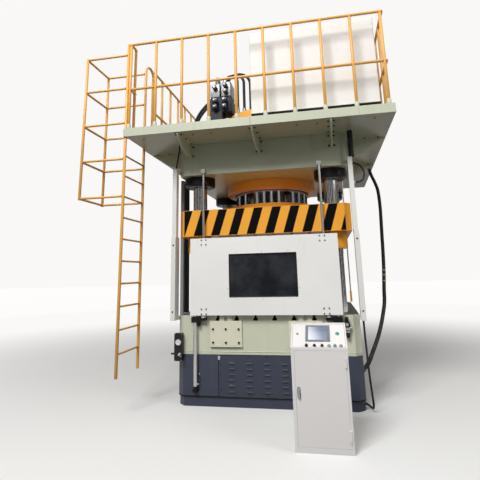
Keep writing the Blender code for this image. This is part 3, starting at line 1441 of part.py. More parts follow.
def console_body(root):
    front, back = -CONSOLE_FRONT, -CONSOLE_BACK
    slope_end = front + CONSOLE_SLOPE
    outline = [
        (front, 0.0),
        (back, 0.0),
        (back, CONSOLE_BACK_HEIGHT - CONSOLE_BACK_DROP),
        (slope_end + CONSOLE_TOP_DEPTH, CONSOLE_BACK_HEIGHT),
        (slope_end, CONSOLE_BACK_HEIGHT),
        (front, CONSOLE_FRONT_HEIGHT),
    ]
    right = CONSOLE_LEFT + CONSOLE_WIDTH
    case = plate("YZ", outline, CONSOLE_LEFT, right)
    knuckles = []
    for z in hinge_heights():
        knuckles.append(upright(HINGE_X, HINGE_Y, z - HINGE_LENGTH / 2, z + HINGE_LENGTH / 2,
                                HINGE_RADIUS, HINGE_SIDES))
        knuckles.append(box((HINGE_X, front - HINGE_LEAF_THICKNESS, z - HINGE_LENGTH / 2),
                            (HINGE_X + HINGE_LEAF_WIDTH, front + HINGE_LEAF_THICKNESS,
                             z + HINGE_LENGTH / 2)))
    joined(case, *knuckles)
    wall = CONSOLE_WALL
    cavity = box((CONSOLE_LEFT + wall, front + wall, CONSOLE_FLOOR),
                 (right - wall, back - wall, CONSOLE_FRONT_HEIGHT - CONSOLE_ROOF))
    play = CONSOLE_DOOR_PLAY
    rebate = box((CONSOLE_DOOR_X[0] - play, front - RUNNING_GAP * 2, CONSOLE_DOOR_BOTTOM - play),
                 (CONSOLE_DOOR_X[1] + play, front + CONSOLE_DOOR_THICKNESS + SEAT_GAP,
                  CONSOLE_DOOR_TOP + play))
    lap = CONSOLE_DOOR_LAP
    mouth = box((CONSOLE_DOOR_X[0] + lap, front - OVERRUN, CONSOLE_FLOOR),
                (CONSOLE_DOOR_X[1] - lap, front + wall + OVERRUN, CONSOLE_FRONT_HEIGHT - CONSOLE_ROOF))
    screen = box((SCREEN_LEFT - SEAT_GAP, SCREEN_UP - SEAT_GAP, -SCREEN_POCKET - SEAT_GAP),
                 (SCREEN_LEFT + SCREEN_WIDTH + SEAT_GAP, SCREEN_UP + SCREEN_HEIGHT + SEAT_GAP, OVERRUN))
    screen.matrix_world = PANEL_FRAME @ screen.matrix_world
    pockets = []
    for x in BUTTON_X:
        pocket = upright(x, BUTTON_UP, -BUTTON_POCKET, OVERRUN, BUTTON_STEM + RUNNING_GAP, BUTTON_SIDES)
        pocket.matrix_world = PANEL_FRAME @ pocket.matrix_world
        pockets.append(pocket)
    cut(case, cavity, rebate, mouth, screen, *pockets)
    node("console_body", case, (WHITE, 0.5), root)


def console_screen(root):
    screen = box((SCREEN_LEFT, SCREEN_UP, -SCREEN_POCKET),
                 (SCREEN_LEFT + SCREEN_WIDTH, SCREEN_UP + SCREEN_HEIGHT, SCREEN_THICKNESS - SCREEN_POCKET))
    screen.matrix_world = PANEL_FRAME @ screen.matrix_world
    node("console_screen", screen, (GREY, 0.3), root)


def console_door(carrier):
    front = -CONSOLE_FRONT
    panel = box((CONSOLE_DOOR_X[0], front, CONSOLE_DOOR_BOTTOM),
                (CONSOLE_DOOR_X[1], front + CONSOLE_DOOR_THICKNESS, CONSOLE_DOOR_TOP))
    shapes = []
    for z in hinge_heights():
        for side in (-1, 1):
            low = z + side * (HINGE_LENGTH + RUNNING_GAP) - HINGE_LENGTH / 2
            shapes.append(upright(HINGE_X, HINGE_Y, low, low + HINGE_LENGTH, HINGE_RADIUS, HINGE_SIDES))
            shapes.append(box((HINGE_X - HINGE_LEAF_WIDTH, front - HINGE_LEAF_THICKNESS, low),
                              (HINGE_X - HINGE_LEAF_LAP, front - HINGE_LEAF_LIFT, low + HINGE_LENGTH)))
            shapes.append(box((HINGE_X - HINGE_LEAF_WIDTH, front - HINGE_LEAF_THICKNESS / 2, low),
                              (CONSOLE_DOOR_X[1] - SEAT_GAP, front + HINGE_LEAF_THICKNESS,
                               low + HINGE_LENGTH)))
    node("console_door", joined(panel, *shapes), (WHITE, 0.5), carrier)


HANDLE_X = CONSOLE_DOOR_X[0] + HANDLE_INSET


def door_handle(carrier):
    face = -CONSOLE_FRONT - SEAT_GAP
    boss = bar((HANDLE_X, face, HANDLE_Z), (HANDLE_X, face - HANDLE_BOSS_HEIGHT - SINK, HANDLE_Z),
               HANDLE_BOSS_RADIUS, AIR_SIDES)
    front = face - HANDLE_BOSS_HEIGHT
    low = HANDLE_Z + HANDLE_WIDTH - HANDLE_LENGTH
    grip = box((HANDLE_X - HANDLE_WIDTH / 2, front - HANDLE_THICKNESS, low),
               (HANDLE_X + HANDLE_WIDTH / 2, front, HANDLE_Z + HANDLE_WIDTH))
    node("door_handle", joined(grip, boss), (GREY, 0.3, 0.8), carrier)


def push_button(carrier, x, name, colour):
    cap_low = BUTTON_LIFT
    cap_high = BUTTON_LIFT + BUTTON_CAP
    button = turned(
        [
            (0.0, cap_high),
            (BUTTON_RADIUS, cap_high),
            (BUTTON_RADIUS, cap_low),
            (BUTTON_STEM, cap_low),
            (BUTTON_STEM, -BUTTON_STEM_LENGTH),
            (0.0, -BUTTON_STEM_LENGTH),
        ],
        (0.0, 0.0, 0.0), BUTTON_SIDES,
    )
    button.matrix_world = PANEL_FRAME @ Matrix.Translation((x, BUTTON_UP, 0.0))
    node(name, button, (colour, 0.35), carrier)


# Cords and conduit

def cord(root, name, route, radius):
    node(name, tube(name, cord_points(route, radius), radius, PIPE_SIDES), (BLACK, 0.6), root)


def post_conduit(root):
    """A ribbed conduit from the underside of the deck to the head of the right post."""
    high = CROWN_TOP
    low = CROWN_BOTTOM + POST_RISE + SEAT_GAP
    count = int((high - low) / CONDUIT_PITCH)
    pitch = (high - low) / count
    profile = [(0.0, high)]
    for i in range(count):
        top = high - i * pitch
        profile += [
            (CONDUIT_RADIUS - CONDUIT_RIB, top),
            (CONDUIT_RADIUS, top - pitch * CONDUIT_RIB_SHARES[0]),
            (CONDUIT_RADIUS, top - pitch * CONDUIT_RIB_SHARES[1]),
        ]
    profile += [(CONDUIT_RADIUS - CONDUIT_RIB, low), (0.0, low)]
    conduit = turned(profile, (CONDUIT_X, CONDUIT_Y, 0.0), CONDUIT_SIDES)
    node("post_conduit_right", conduit, (BLACK, 0.6), root)


# The whole press

def build():
    root = body("press_frame", (0.0, 0.0, 0.0))
    moving_slide = body("slide_axis", (0.0, 0.0, SLIDE_BOTTOM))
    moving_door = body("guard_axis", (0.0, -GUIDE_Y, DOOR_BOTTOM))
    hinged_door = body("console_hinge_axis", (HINGE_X, HINGE_Y, CONSOLE_DOOR_BOTTOM))
    turning_handle = body("handle_axis", (HANDLE_X, -CONSOLE_FRONT, HANDLE_Z))

    base_skirt(root)
    louvre_panel(root)
    bed(root)
    bed_cover(root, -1, "bed_cover_left")
    bed_cover(root, 1, "bed_cover_right")
    for place, (x, y) in COLUMN_PLACES.items():
        column(root, place, x, y)
        column_collar(root, place, x, y)
    crown(root)
    main_cylinder(root)
    position_rod(root)
    deck(root)
    front_gusset(root, -GUSSET_X, "front_gusset_left")
    front_gusset(root, 0.0, "front_gusset_middle")
    front_gusset(root, GUSSET_X, "front_gusset_right")
    railings(root)
    ladder(root)
    ladder_cage(root)
    pump_enclosure(root)
    valve_block(root)
    for side, word in ((-1, "left"), (1, "right")):
        guide_rod(root, side, f"guide_rod_{word}")
        lower_bracket(root, side, f"lower_bracket_{word}")
        lift_cylinder(root, side, f"lift_cylinder_{word}")
        lift_rod(moving_door, side, f"lift_rod_{word}")
    side_post(root, -1, "side_post_left", [last_gland(POST_CABLE_ROUTE, POST_CABLE_RADIUS)])
    side_post(root, 1, "side_post_right",
              [first_gland(FLOOR_CABLE_ROUTE, FLOOR_CABLE_RADIUS), last_gland(LOOP_ROUTE, LOOP_RADIUS)])
    side_arms(root, "side_bar_left", BAR_X, BAR_Y, BAR_SIZE, (GREY, 0.5))
    side_arms(root, "cable_duct_left", DUCT_X, DUCT_Y, DUCT_SIZE, (BLACK, 0.6))
    gauge_panel(root)
    air_valve(root)
    console_body(root)
    console_screen(root)
    cord(root, "post_cable_left", POST_CABLE_ROUTE, POST_CABLE_RADIUS)
    post_conduit(root)
    cord(root, "crown_cable_loop", LOOP_ROUTE, LOOP_RADIUS)
    cord(root, "power_hose", POWER_HOSE_ROUTE, POWER_HOSE_RADIUS)
    cord(root, "floor_cable", FLOOR_CABLE_ROUTE, FLOOR_CABLE_RADIUS)

    slide(moving_slide)
    main_ram(moving_slide)
    guard_door(moving_door)
    door_window(moving_door)
    console_door(hinged_door)
    door_handle(turning_handle)
    colours = (BLACK, BLACK, GREY, GREEN, GREY)
    for number, (x, colour) in enumerate(zip(BUTTON_X, colours), start=1):
        centre = PANEL_FRAME @ Vector((x, BUTTON_UP, 0.0))
        carrier = body(f"button_{number}_axis", centre, CONSOLE_TILT)
        push_button(carrier, x, f"push_button_{number}", colour)


build()
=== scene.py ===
"""Looks of a four-column hydraulic press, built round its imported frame.

Metres, +Z up, +X to the operator's right, the operator on the -Y side. Every piece is built in place,
so the object coordinates of a finish are places on the resting press.
"""

import json
import math

import bmesh
import bpy
from mathutils import Matrix, Vector


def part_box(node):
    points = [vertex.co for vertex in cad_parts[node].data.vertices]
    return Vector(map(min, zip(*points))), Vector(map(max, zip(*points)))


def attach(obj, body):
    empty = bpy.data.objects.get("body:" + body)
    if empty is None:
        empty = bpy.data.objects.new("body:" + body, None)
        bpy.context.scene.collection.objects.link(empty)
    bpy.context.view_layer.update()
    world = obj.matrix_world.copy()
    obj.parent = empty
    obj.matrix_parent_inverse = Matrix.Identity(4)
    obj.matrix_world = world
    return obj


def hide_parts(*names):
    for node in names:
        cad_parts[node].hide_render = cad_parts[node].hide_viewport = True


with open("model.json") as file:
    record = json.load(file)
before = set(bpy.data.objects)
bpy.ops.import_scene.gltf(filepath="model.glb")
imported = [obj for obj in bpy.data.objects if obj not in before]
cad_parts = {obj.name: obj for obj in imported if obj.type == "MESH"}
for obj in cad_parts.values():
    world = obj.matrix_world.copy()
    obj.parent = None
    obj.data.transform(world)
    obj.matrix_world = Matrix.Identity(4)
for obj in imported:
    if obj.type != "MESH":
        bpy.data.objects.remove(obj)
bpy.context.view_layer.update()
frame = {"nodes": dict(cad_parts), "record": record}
NODES = frame["nodes"]

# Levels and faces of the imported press

BED_TOP = 1.068
SKIRT_TOP = 0.601
SLIDE_BOTTOM = 2.081
CROWN_BOTTOM = 2.922
CROWN_TOP = 3.3615
DECK_TOP = 3.473
HEAD_TOP = 4.020
BED_FRONT = -1.143
SLIDE_FRONT = -1.130
CROWN_FRONT = -1.154
DOOR_FRONT = -1.2275
DECK_FRONT = -1.755
DECK_SIDE = 1.705
BED_SIDE, BED_CORNER = 1.145, 1.063

SEAT = 0.0003
FOOT = DECK_TOP + SEAT
UP, DOWN, FORWARD = (0, 0, 1), (0, 0, -1), (0, -1, 0)
ALONG_X, ALONG_Y = (1, 0, 0), (0, 1, 0)


# Finishes

class Signal:
    """A value or vector in a finish's node tree. Arithmetic on it adds Math nodes."""

    def __init__(self, finish, socket):
        self.finish = finish
        self.socket = socket

    def maths(self, operation, *values):
        return self.finish.put("ShaderNodeMath", values, operation=operation)

    def __add__(self, other):
        return self.maths("ADD", self, other)

    def __sub__(self, other):
        return self.maths("SUBTRACT", self, other)

    def __rsub__(self, other):
        return self.maths("SUBTRACT", other, self)

    def __mul__(self, other):
        return self.maths("MULTIPLY", self, other)

    def __truediv__(self, other):
        return self.maths("DIVIDE", self, other)

    def __pow__(self, other):
        return self.maths("POWER", self, other)

    def __mod__(self, other):
        return self.maths("FLOORED_MODULO", self, other)

    def __lt__(self, other):
        return self.maths("LESS_THAN", self, other)

    def __gt__(self, other):
        return self.maths("GREATER_THAN", self, other)

    def __abs__(self):
        return self.maths("ABSOLUTE", self)

    __radd__ = __add__
    __rmul__ = __mul__

    def larger(self, other):
        return self.maths("MAXIMUM", self, other)

    def rise(self, low, high):
        """0 below low and 1 above high, with a soft step between them."""
        return self.finish.put("ShaderNodeMapRange", {0: self, 1: low, 2: high},
                               interpolation_type="SMOOTHSTEP")

    def parts(self):
        """The three components of a vector."""
        return [self.finish.put("ShaderNodeSeparateXYZ", [self], outlet=i) for i in range(3)]


class Finish:
    """A material made of nodes on a Principled shader, whose fixed values sit on the shader's sockets."""

    def __init__(self, name, **fixed):
        self.material = bpy.data.materials.new(name)
        self.material.use_nodes = True
        self.tree = self.material.node_tree
        self.shader = self.tree.nodes["Principled BSDF"]
        for key, value in fixed.items():
            self.to(key, value)
        self.place = self.put("ShaderNodeTexCoord", outlet=3)

    def to(self, key, value):
        """Sets or links the shader's socket of that name, written with underscores."""
        words = {"ior": "IOR", "specular": "Specular IOR Level"}.get(key, key.replace("_", " ").title())
        self.join(self.shader.inputs[words], value)
        return self

    def join(self, socket, value):
        if isinstance(value, Signal):
            self.tree.links.new(value.socket, socket)
        elif socket.type == "RGBA" and len(value) == 3:
            socket.default_value = (*value, 1.0)
        else:
            socket.default_value = value

    def put(self, kind, values=(), outlet=0, stops=(), **settings):
        """One node: its settings first, then the values or links of its sockets, and the outlet it gives."""
        made = self.tree.nodes.new(kind)
        for key, value in settings.items():
            setattr(made, key, value)
        if stops:
            ramp = made.color_ramp.elements
            while len(ramp) < len(stops):
                ramp.new(0.5)
            for element, (position, colour) in zip(ramp, stops):
                element.position = position
                element.color = (*colour, 1.0)
        pairs = values.items() if isinstance(values, dict) else enumerate(values)
        for key, value in pairs:
            self.join(made.inputs[key], value)
        return Signal(self, made.outputs[outlet])

    def mix(self, factor, first, second):
        """A colour between two."""
        return self.put("ShaderNodeMix", {0: factor, 6: first, 7: second}, outlet=2, data_type="RGBA")

    def vector(self, operation, *values):
        return self.put("ShaderNodeVectorMath", values, operation=operation)

    def stretched(self, x, y, z):
        return self.vector("MULTIPLY", self.place, (x, y, z))

    def noise(self, scale, detail=3.0, roughness=0.55, where=None):
        where = where or self.place
        return self.put("ShaderNodeTexNoise",
                        {"Vector": where, "Scale": scale, "Detail": detail, "Roughness": roughness})

    def cells(self, scale):
        return self.put("ShaderNodeTexVoronoi", {"Vector": self.place, "Scale": scale})

    def facing(self):
        """The three components of the surface's own normal, in the object's own frame."""
        return self.put("ShaderNodeTexCoord", outlet=1).parts()

    def bump(self, height, distance):
        return self.to("normal", self.put("ShaderNodeBump", {"Height": height, "Distance": distance}))

    def painted(self, name):
        """What is already linked to one of the shader's sockets, to paint over it."""
        return Signal(self, self.shader.inputs[name].links[0].from_socket)


GRIME = (0.13, 0.11, 0.08)
DUST = (0.46, 0.43, 0.38)
CABLE_DUST = (0.20, 0.185, 0.16)
HAND_MARK = (0.32, 0.29, 0.24)
SPECK = (0.16, 0.14, 0.12)
RUBBED_STEEL = (0.17, 0.165, 0.16)


def shade(colour, factor):
    return tuple(min(1.0, part * factor) for part in colour)


def enamel(name, colour, roughness=0.38, dirt=0.25, dust=0.15, peel=0.00012, coat=0.15, specular=0.4):
    """Sprayed machine enamel: a slight orange peel, uneven gloss, rubbed marks, runs of grime and dust."""
    paint = Finish(name, coat_weight=coat, coat_roughness=0.25, specular=specular)
    broad = paint.noise(0.7, 3.0)
    fine = paint.noise(9.0, 5.0, 0.6)
    base = paint.mix(broad.rise(0.3, 0.7), shade(colour, 0.965), shade(colour, 1.03))
    base = paint.mix(fine.rise(0.35, 0.75) * 0.5, base, shade(colour, 0.95))
    runs = paint.noise(1.0, 4.0, 0.65, paint.stretched(14.0, 14.0, 0.8))
    grime = runs.rise(0.54, 0.80) * broad.rise(0.40, 0.62) * dirt
    base = paint.mix(grime, base, GRIME)
    scuffs = paint.noise(2.6, 6.0, 0.72, paint.stretched(3.0, 3.0, 9.0)).rise(0.66, 0.70)
    base = paint.mix(scuffs * dirt * 0.6, base, shade(colour, 0.55))
    up = paint.facing()[2]
    settled = up.rise(0.6, 0.95) * paint.noise(3.0, 4.0).rise(0.25, 0.75) * dust
    base = paint.mix(settled, base, DUST)
    paint.to("base_color", base)
    paint.to("roughness", fine * 0.14 + (roughness - 0.06) + scuffs * 0.12 + settled * 0.4)
    skin = paint.noise(240.0, 2.0)
    return paint.bump(skin + broad * 1.5, peel)


def powder_coat(name, colour, roughness=0.5, dirt=0.2):
    """A fine-textured powder coat, a little worn and marked."""
    paint = Finish(name, coat_weight=0.05, coat_roughness=0.4)
    broad = paint.noise(0.9, 3.0)
    fine = paint.noise(16.0, 5.0, 0.62)
    base = paint.mix(broad.rise(0.3, 0.7), shade(colour, 0.97), shade(colour, 1.02))
    smears = paint.noise(1.3, 5.0, 0.68, paint.stretched(5.0, 5.0, 1.3)).rise(0.58, 0.78)
    base = paint.mix(smears * dirt, base, HAND_MARK)
    specks = paint.cells(38.0).rise(0.10, 0.03) * paint.noise(3.0, 2.0).rise(0.52, 0.66)
    base = paint.mix(specks * dirt * 1.5, base, SPECK)
    paint.to("base_color", base)
    paint.to("roughness", fine * 0.16 + (roughness - 0.08) + smears * 0.08)
    grain = paint.noise(420.0, 2.0, 0.6)
    return paint.bump(grain + broad, 0.00016)


def plated(name, colour, roughness, along=(1.0, 1.0, 60.0), depth=0.35):
    """Hard chrome or drawn steel: fine marks round the bar, and a thin uneven film of oil."""
    metal = Finish(name, metallic=1.0)
    marks = metal.noise(6.0, 3.0, 0.6, metal.stretched(*along))
    film = metal.noise(2.2, 4.0, 0.6)
    metal.to("base_color", metal.mix(film.rise(0.35, 0.7) * depth, colour, shade(colour, 0.72)))
    metal.to("roughness", marks * 0.08 + film.rise(0.4, 0.75) * 0.10 + (roughness - 0.04))
    return metal.bump(marks, 0.00003)


def blackened(name, colour, roughness=0.38, metallic=0.1):
    """Oil-blackened steel with a grey bloom and lighter rubbed places."""
    metal = Finish(name, specular=0.25)
    bloom = metal.noise(11.0, 5.0, 0.65)
    rubbed = metal.noise(34.0, 4.0, 0.7).rise(0.60, 0.74)
    base = metal.mix(bloom.rise(0.3, 0.8), shade(colour, 0.75), shade(colour, 1.6))
    base = metal.mix(rubbed * 0.12, base, RUBBED_STEEL)
    metal.to("base_color", base)
    metal.to("metallic", rubbed * 0.3 + metallic)
    metal.to("roughness", bloom * 0.2 + (roughness - 0.1))
    return metal.bump(bloom + metal.noise(160.0, 2.0) * 0.4, 0.0001)


def machined(name, colour, roughness=0.34, grain=90.0):
    """Milled or cast metal with tool marks and stains."""
    metal = Finish(name, metallic=0.85)
    stains = metal.noise(13.0, 5.0, 0.62)
    marks = metal.noise(4.0, 2.0, 0.5, metal.stretched(grain, grain, 6.0))
    metal.to("base_color", metal.mix(stains.rise(0.35, 0.75), colour, shade(colour, 0.62)))
    metal.to("roughness", marks * 0.14 + stains * 0.18 + (roughness - 0.12))
    return metal.bump(marks, 0.00006)


def moulded(name, colour, roughness=0.42, grain=520.0):
    """Moulded plastic with a fine eroded grain and a few rubbed patches."""
    plastic = Finish(name, specular=0.3)
    worn = plastic.noise(14.0, 4.0, 0.6)
    plastic.to("base_color", plastic.mix(worn.rise(0.4, 0.8), colour, shade(colour, 1.35)))
    plastic.to("roughness", worn * 0.16 + (roughness - 0.08))
    return plastic.bump(plastic.noise(grain, 2.0), 0.00009)


def sheath(name, colour, roughness=0.55):
    """Black rubber of a cable or hose, dusty on its upper side."""
    rubber = Finish(name, specular=0.2)
    patches = rubber.noise(9.0, 4.0, 0.6)
    up = rubber.facing()[2]
    dust = up.rise(-0.2, 0.9) * patches.rise(0.35, 0.7) * 0.3
    rubber.to("base_color", rubber.mix(dust, colour, CABLE_DUST))
    rubber.to("roughness", patches * 0.2 + (roughness - 0.1))
    return rubber.bump(rubber.noise(330.0, 3.0), 0.0002)


CREAM = (0.585, 0.615, 0.470)
SLATE = (0.044, 0.052, 0.082)
YELLOW = (0.950, 0.425, 0.052)
RAIL_YELLOW = (0.870, 0.455, 0.105)
WHITE = (0.800, 0.785, 0.755)

LOOKS = {
    "cream": enamel("cream_machine_enamel", CREAM),
    "slate": enamel("slate_machine_enamel", SLATE, 0.40, dirt=0.35, dust=0.2, coat=0.05),
    "yellow": enamel("signal_yellow_enamel", YELLOW, 0.36, dirt=0.18),
    "rail": enamel("railing_yellow_enamel", RAIL_YELLOW, 0.38, dirt=0.18, dust=0.1),
    "white": powder_coat("white_powder_coat", WHITE),
    "door": powder_coat("guard_door_powder_coat", (0.890, 0.880, 0.850)),
    "console": powder_coat("console_powder_coat", (0.80, 0.775, 0.765), 0.46, dirt=0.12),
    "chrome": plated("hard_chrome", (0.62, 0.62, 0.63), 0.13),
    "steel": plated("drawn_steel", (0.56, 0.56, 0.55), 0.28),
    "black": blackened("blackened_steel", (0.006, 0.006, 0.0075)),
    "alloy": machined("machined_alloy", (0.46, 0.46, 0.47)),
    "grey": enamel("grey_machine_enamel", (0.26, 0.27, 0.27), 0.42, dirt=0.3),
    "plastic": moulded("black_moulded_plastic", (0.009, 0.009, 0.010)),
    "cast": machined("cast_valve_metal", (0.17, 0.17, 0.18), 0.36, 40.0),
    "rubber": sheath("cable_sheath", (0.022, 0.022, 0.023)),
    "galvanised": machined("zinc_plated_steel", (0.55, 0.55, 0.53), 0.42, 30.0),
    "grey_plastic": moulded("grey_moulded_plastic", (0.30, 0.31, 0.32), 0.4),
    "blue_plastic": moulded("blue_coil_plastic", (0.010, 0.018, 0.060), 0.25),
    "rail_weld": enamel("rail_weld_enamel", (0.70, 0.27, 0.035), 0.45, dirt=0.3),
    "manifold": enamel("manifold_enamel", (0.022, 0.024, 0.034), 0.5, dirt=0.3, dust=0.0, coat=0.0,
                       specular=0.2),
    "louvre": enamel("louvre_panel_enamel", shade(SLATE, 0.90), 0.40, dirt=0.35, dust=0.0, coat=0.05),
    "cover": enamel("bed_cover_enamel", (0.770, 0.755, 0.590), dirt=0.2),
    "tape": moulded("marking_tape", (0.55, 0.33, 0.12), 0.5),
    # near-black for dark joints, and painted shade in the louvres' mouths and under the enclosure
    "gap": moulded("dark_joint_and_painted_shade", (0.006, 0.006, 0.007), 0.8),
    "bezel": moulded("screen_bezel_plastic", (0.20, 0.21, 0.24), 0.36),
    "joint_line": moulded("dark_joint", (0.10, 0.10, 0.10), 0.6),
    "yellow_strip": moulded("yellow_scale_strip", (0.85, 0.42, 0.05), 0.4),
    # a darker copy of the hard chrome: painted shade that darkens the ram's reflections
    "ram_chrome_painted_shade": plated("ram_chrome_painted_shade", (0.42, 0.42, 0.43), 0.12),
}


def shaded_louvre_tops():
    """Painted shade: the hoods' upward faces are darkened, so that the light from above does not show on
    their tops.
    """
    sheet = LOOKS["louvre"]
    # painted shade on the hoods' upward faces
    top = sheet.facing()[2].rise(0.15, 0.6)
    sheet.to("base_color", sheet.mix(top * 0.75, sheet.painted("Base Color"), (0.010, 0.012, 0.018)))


shaded_louvre_tops()

SLOT_SIDE, SLOT_END, SLOT_CORNER = 1.1435, 1.1415, 2.204
SLOT_DEPTH, SLOT_LIP = 0.0655, 0.0045
RUST_TOP, RUST_FOOT = SKIRT_TOP + 0.10, SKIRT_TOP + 0.02


def slotted_bed():
    """Cream outside, bare machined steel on the table, and near-black painted shade inside its T-slots."""
    bed = enamel("slotted_bed_enamel", (0.650, 0.665, 0.515))
    x, y, z = bed.place.parts()
    inside = (abs(x) < SLOT_SIDE) * (abs(y) < SLOT_END) * (abs(x) + abs(y) < SLOT_CORNER)
    # painted shade: the insides of the T-slots are near-black
    slot_shade = inside * (z > BED_TOP - SLOT_DEPTH) * (z < BED_TOP - SLOT_LIP)
    table = bed.facing()[2].rise(0.9, 0.99) * (z > BED_TOP - 0.001)
    steel = bed.mix(bed.noise(12.0, 5.0, 0.6).rise(0.3, 0.8), (0.42, 0.42, 0.41), (0.26, 0.25, 0.23))
    rust = bed.noise(4.0, 6.0, 0.7, bed.stretched(1.0, 1.0, 0.25)).rise(0.60, 0.72)
    base = bed.mix(z.rise(RUST_TOP, RUST_FOOT) * rust * 0.55, bed.painted("Base Color"), (0.33, 0.22, 0.10))
    base = bed.mix(table, base, steel)
    bed.to("base_color", bed.mix(slot_shade, base, (0.010, 0.010, 0.009)))
    bed.to("metallic", table * 0.85)
    bed.to("roughness", bed.painted("Roughness") * (1 - table) + table * 0.36)
    return bed


BAND_PITCH, BAND_SHARE = 0.2425, 0.5
BAND_LEAN, BAND_SHIFT = 0.318, 1.058
BAND_LOW, BAND_HIGH = SLIDE_BOTTOM + 0.004, SLIDE_BOTTOM + 0.3485
BAND_BLUR = 0.0015


def banded_slide():
    """Signal yellow with slanted black bands across the slide's front face alone."""
    bands = enamel("banded_slide_enamel", YELLOW, 0.36, dirt=0.18, coat=0.0, specular=0.08)
    x, y, z = bands.place.parts()
    run = (x + (SLIDE_BOTTOM - z) * BAND_LEAN + BAND_SHIFT) % BAND_PITCH
    ragged = run + bands.noise(60.0, 3.0) * 0.004
    start = BAND_PITCH * BAND_SHARE
    black = ragged.rise(start - BAND_BLUR, start + BAND_BLUR)
    black = black * ragged.rise(BAND_PITCH - 0.0005, BAND_PITCH - 0.0005 - 2 * BAND_BLUR)
    on_front = (y < SLIDE_FRONT + 0.004) * (z < BAND_HIGH) * (z > BAND_LOW)
    worn = bands.noise(21.0, 5.0, 0.7).rise(0.72, 0.76)
    factor = black * on_front * (1 - worn * 0.5)
    bands.to("base_color", bands.mix(factor, bands.painted("Base Color"), (0.003, 0.003, 0.0035)))
    return bands


def smoked_glass():
    """A dark acrylic pane that lets some light through, with paler patches that are partly a film on it and
    partly painted reflections.
    """
    pane = Finish("smoked_acrylic", roughness=0.06, specular=0.3, ior=1.49, alpha=0.97)
    # paler patches in the tint: a film on the pane, and painted faint reflections
    film = pane.noise(3.0, 5.0, 0.65)
    pane.to("base_color", pane.mix(film.rise(0.35, 0.75), (0.014, 0.016, 0.019), (0.044, 0.048, 0.054)))
    pane.to("roughness", film * 0.16 + 0.04)
    return pane


GAUGE_X, GAUGE_Z = -1.097, SKIRT_TOP + 0.156
MARKS_OUT, MINOR_IN, MAJOR_IN = 0.0262, 0.0225, 0.0195
RING_OUT, RED_IN, RED_OUT = 0.0268, 0.0270, 0.0285
DIAL_REACH, RED_FROM, RED_TO = 2.42, 1.9, 2.35


def dial_face():
    """A white dial with black graduations round three quarters of it and a red mark at the limit."""
    face = Finish("gauge_dial_face", roughness=0.5)
    x, y, z = face.place.parts()
    across = x - GAUGE_X
    up = z - GAUGE_Z
    radius = (across * across + up * up) ** 0.5
    turn = face.put("ShaderNodeMath", [across, up], operation="ARCTAN2")
    beat = abs((turn / (math.pi / 16)) % 1 - 0.5)
    minor = (beat > 0.42) * (radius > MINOR_IN) * (radius < MARKS_OUT)
    long_beat = abs((turn / (math.pi / 4)) % 1 - 0.5)
    major = (long_beat > 0.465) * (radius > MAJOR_IN) * (radius < MARKS_OUT)
    ring = (radius > MARKS_OUT) * (radius < RING_OUT)
    ink = minor.larger(major).larger(ring) * (1 - (abs(turn) > DIAL_REACH))
    red = (turn > RED_FROM) * (turn < RED_TO) * (radius > RED_IN) * (radius < RED_OUT)
    base = face.mix(ink, (0.82, 0.82, 0.80), (0.03, 0.03, 0.03))
    face.to("base_color", face.mix(red, base, (0.55, 0.04, 0.03)))
    return face


DISPLAY_LEFT, DISPLAY_WIDTH = 0.575, 0.186
DISPLAY_FOOT, DISPLAY_RISE = 0.945, 0.105
DISPLAY_GLOW = ((0.0, (0.80, 0.82, 0.86)), (0.40, (0.55, 0.59, 0.68)), (0.8, (0.22, 0.26, 0.36)),
                (1.0, (0.16, 0.20, 0.29)))


def display_glass():
    """A lit display behind glass: pale grey-blue, brighter to the left, with plain fields and no words."""
    glass = Finish("display_glass", roughness=0.12, coat_weight=0.7, coat_roughness=0.04,
                   emission_strength=0.12)
    x, y, z = glass.place.parts()
    across = (x - DISPLAY_LEFT) / DISPLAY_WIDTH
    up = (z - DISPLAY_FOOT) / DISPLAY_RISE
    glow = glass.put("ShaderNodeValToRGB", [across + up * 0.35], stops=DISPLAY_GLOW)
    columns = abs((across * 4) % 1 - 0.5) < 0.44
    rows = abs((up * 5) % 1 - 0.5) < 0.40
    base = glass.mix(columns * rows * 0.07, glow, (0.62, 0.66, 0.72))
    glass.to("base_color", base)
    glass.to("emission_color", base)
    return glass


def green_lens():
    lens = Finish("green_lens", roughness=0.2, coat_weight=0.6, coat_roughness=0.06)
    rings = lens.noise(60.0, 2.0)
    lens.to("base_color", lens.mix(rings.rise(0.3, 0.7), (0.035, 0.26, 0.17), (0.06, 0.36, 0.24)))
    return lens


LOOKS.update(bed=slotted_bed(), banded=banded_slide(), smoke=smoked_glass(), dial=dial_face(),
             display=display_glass(), green_lens=green_lens())


# Forms: a mesh put together from simple shapes before it becomes one piece

HEX_SECTOR = 2 * math.pi / 6
SHARP = 0.6


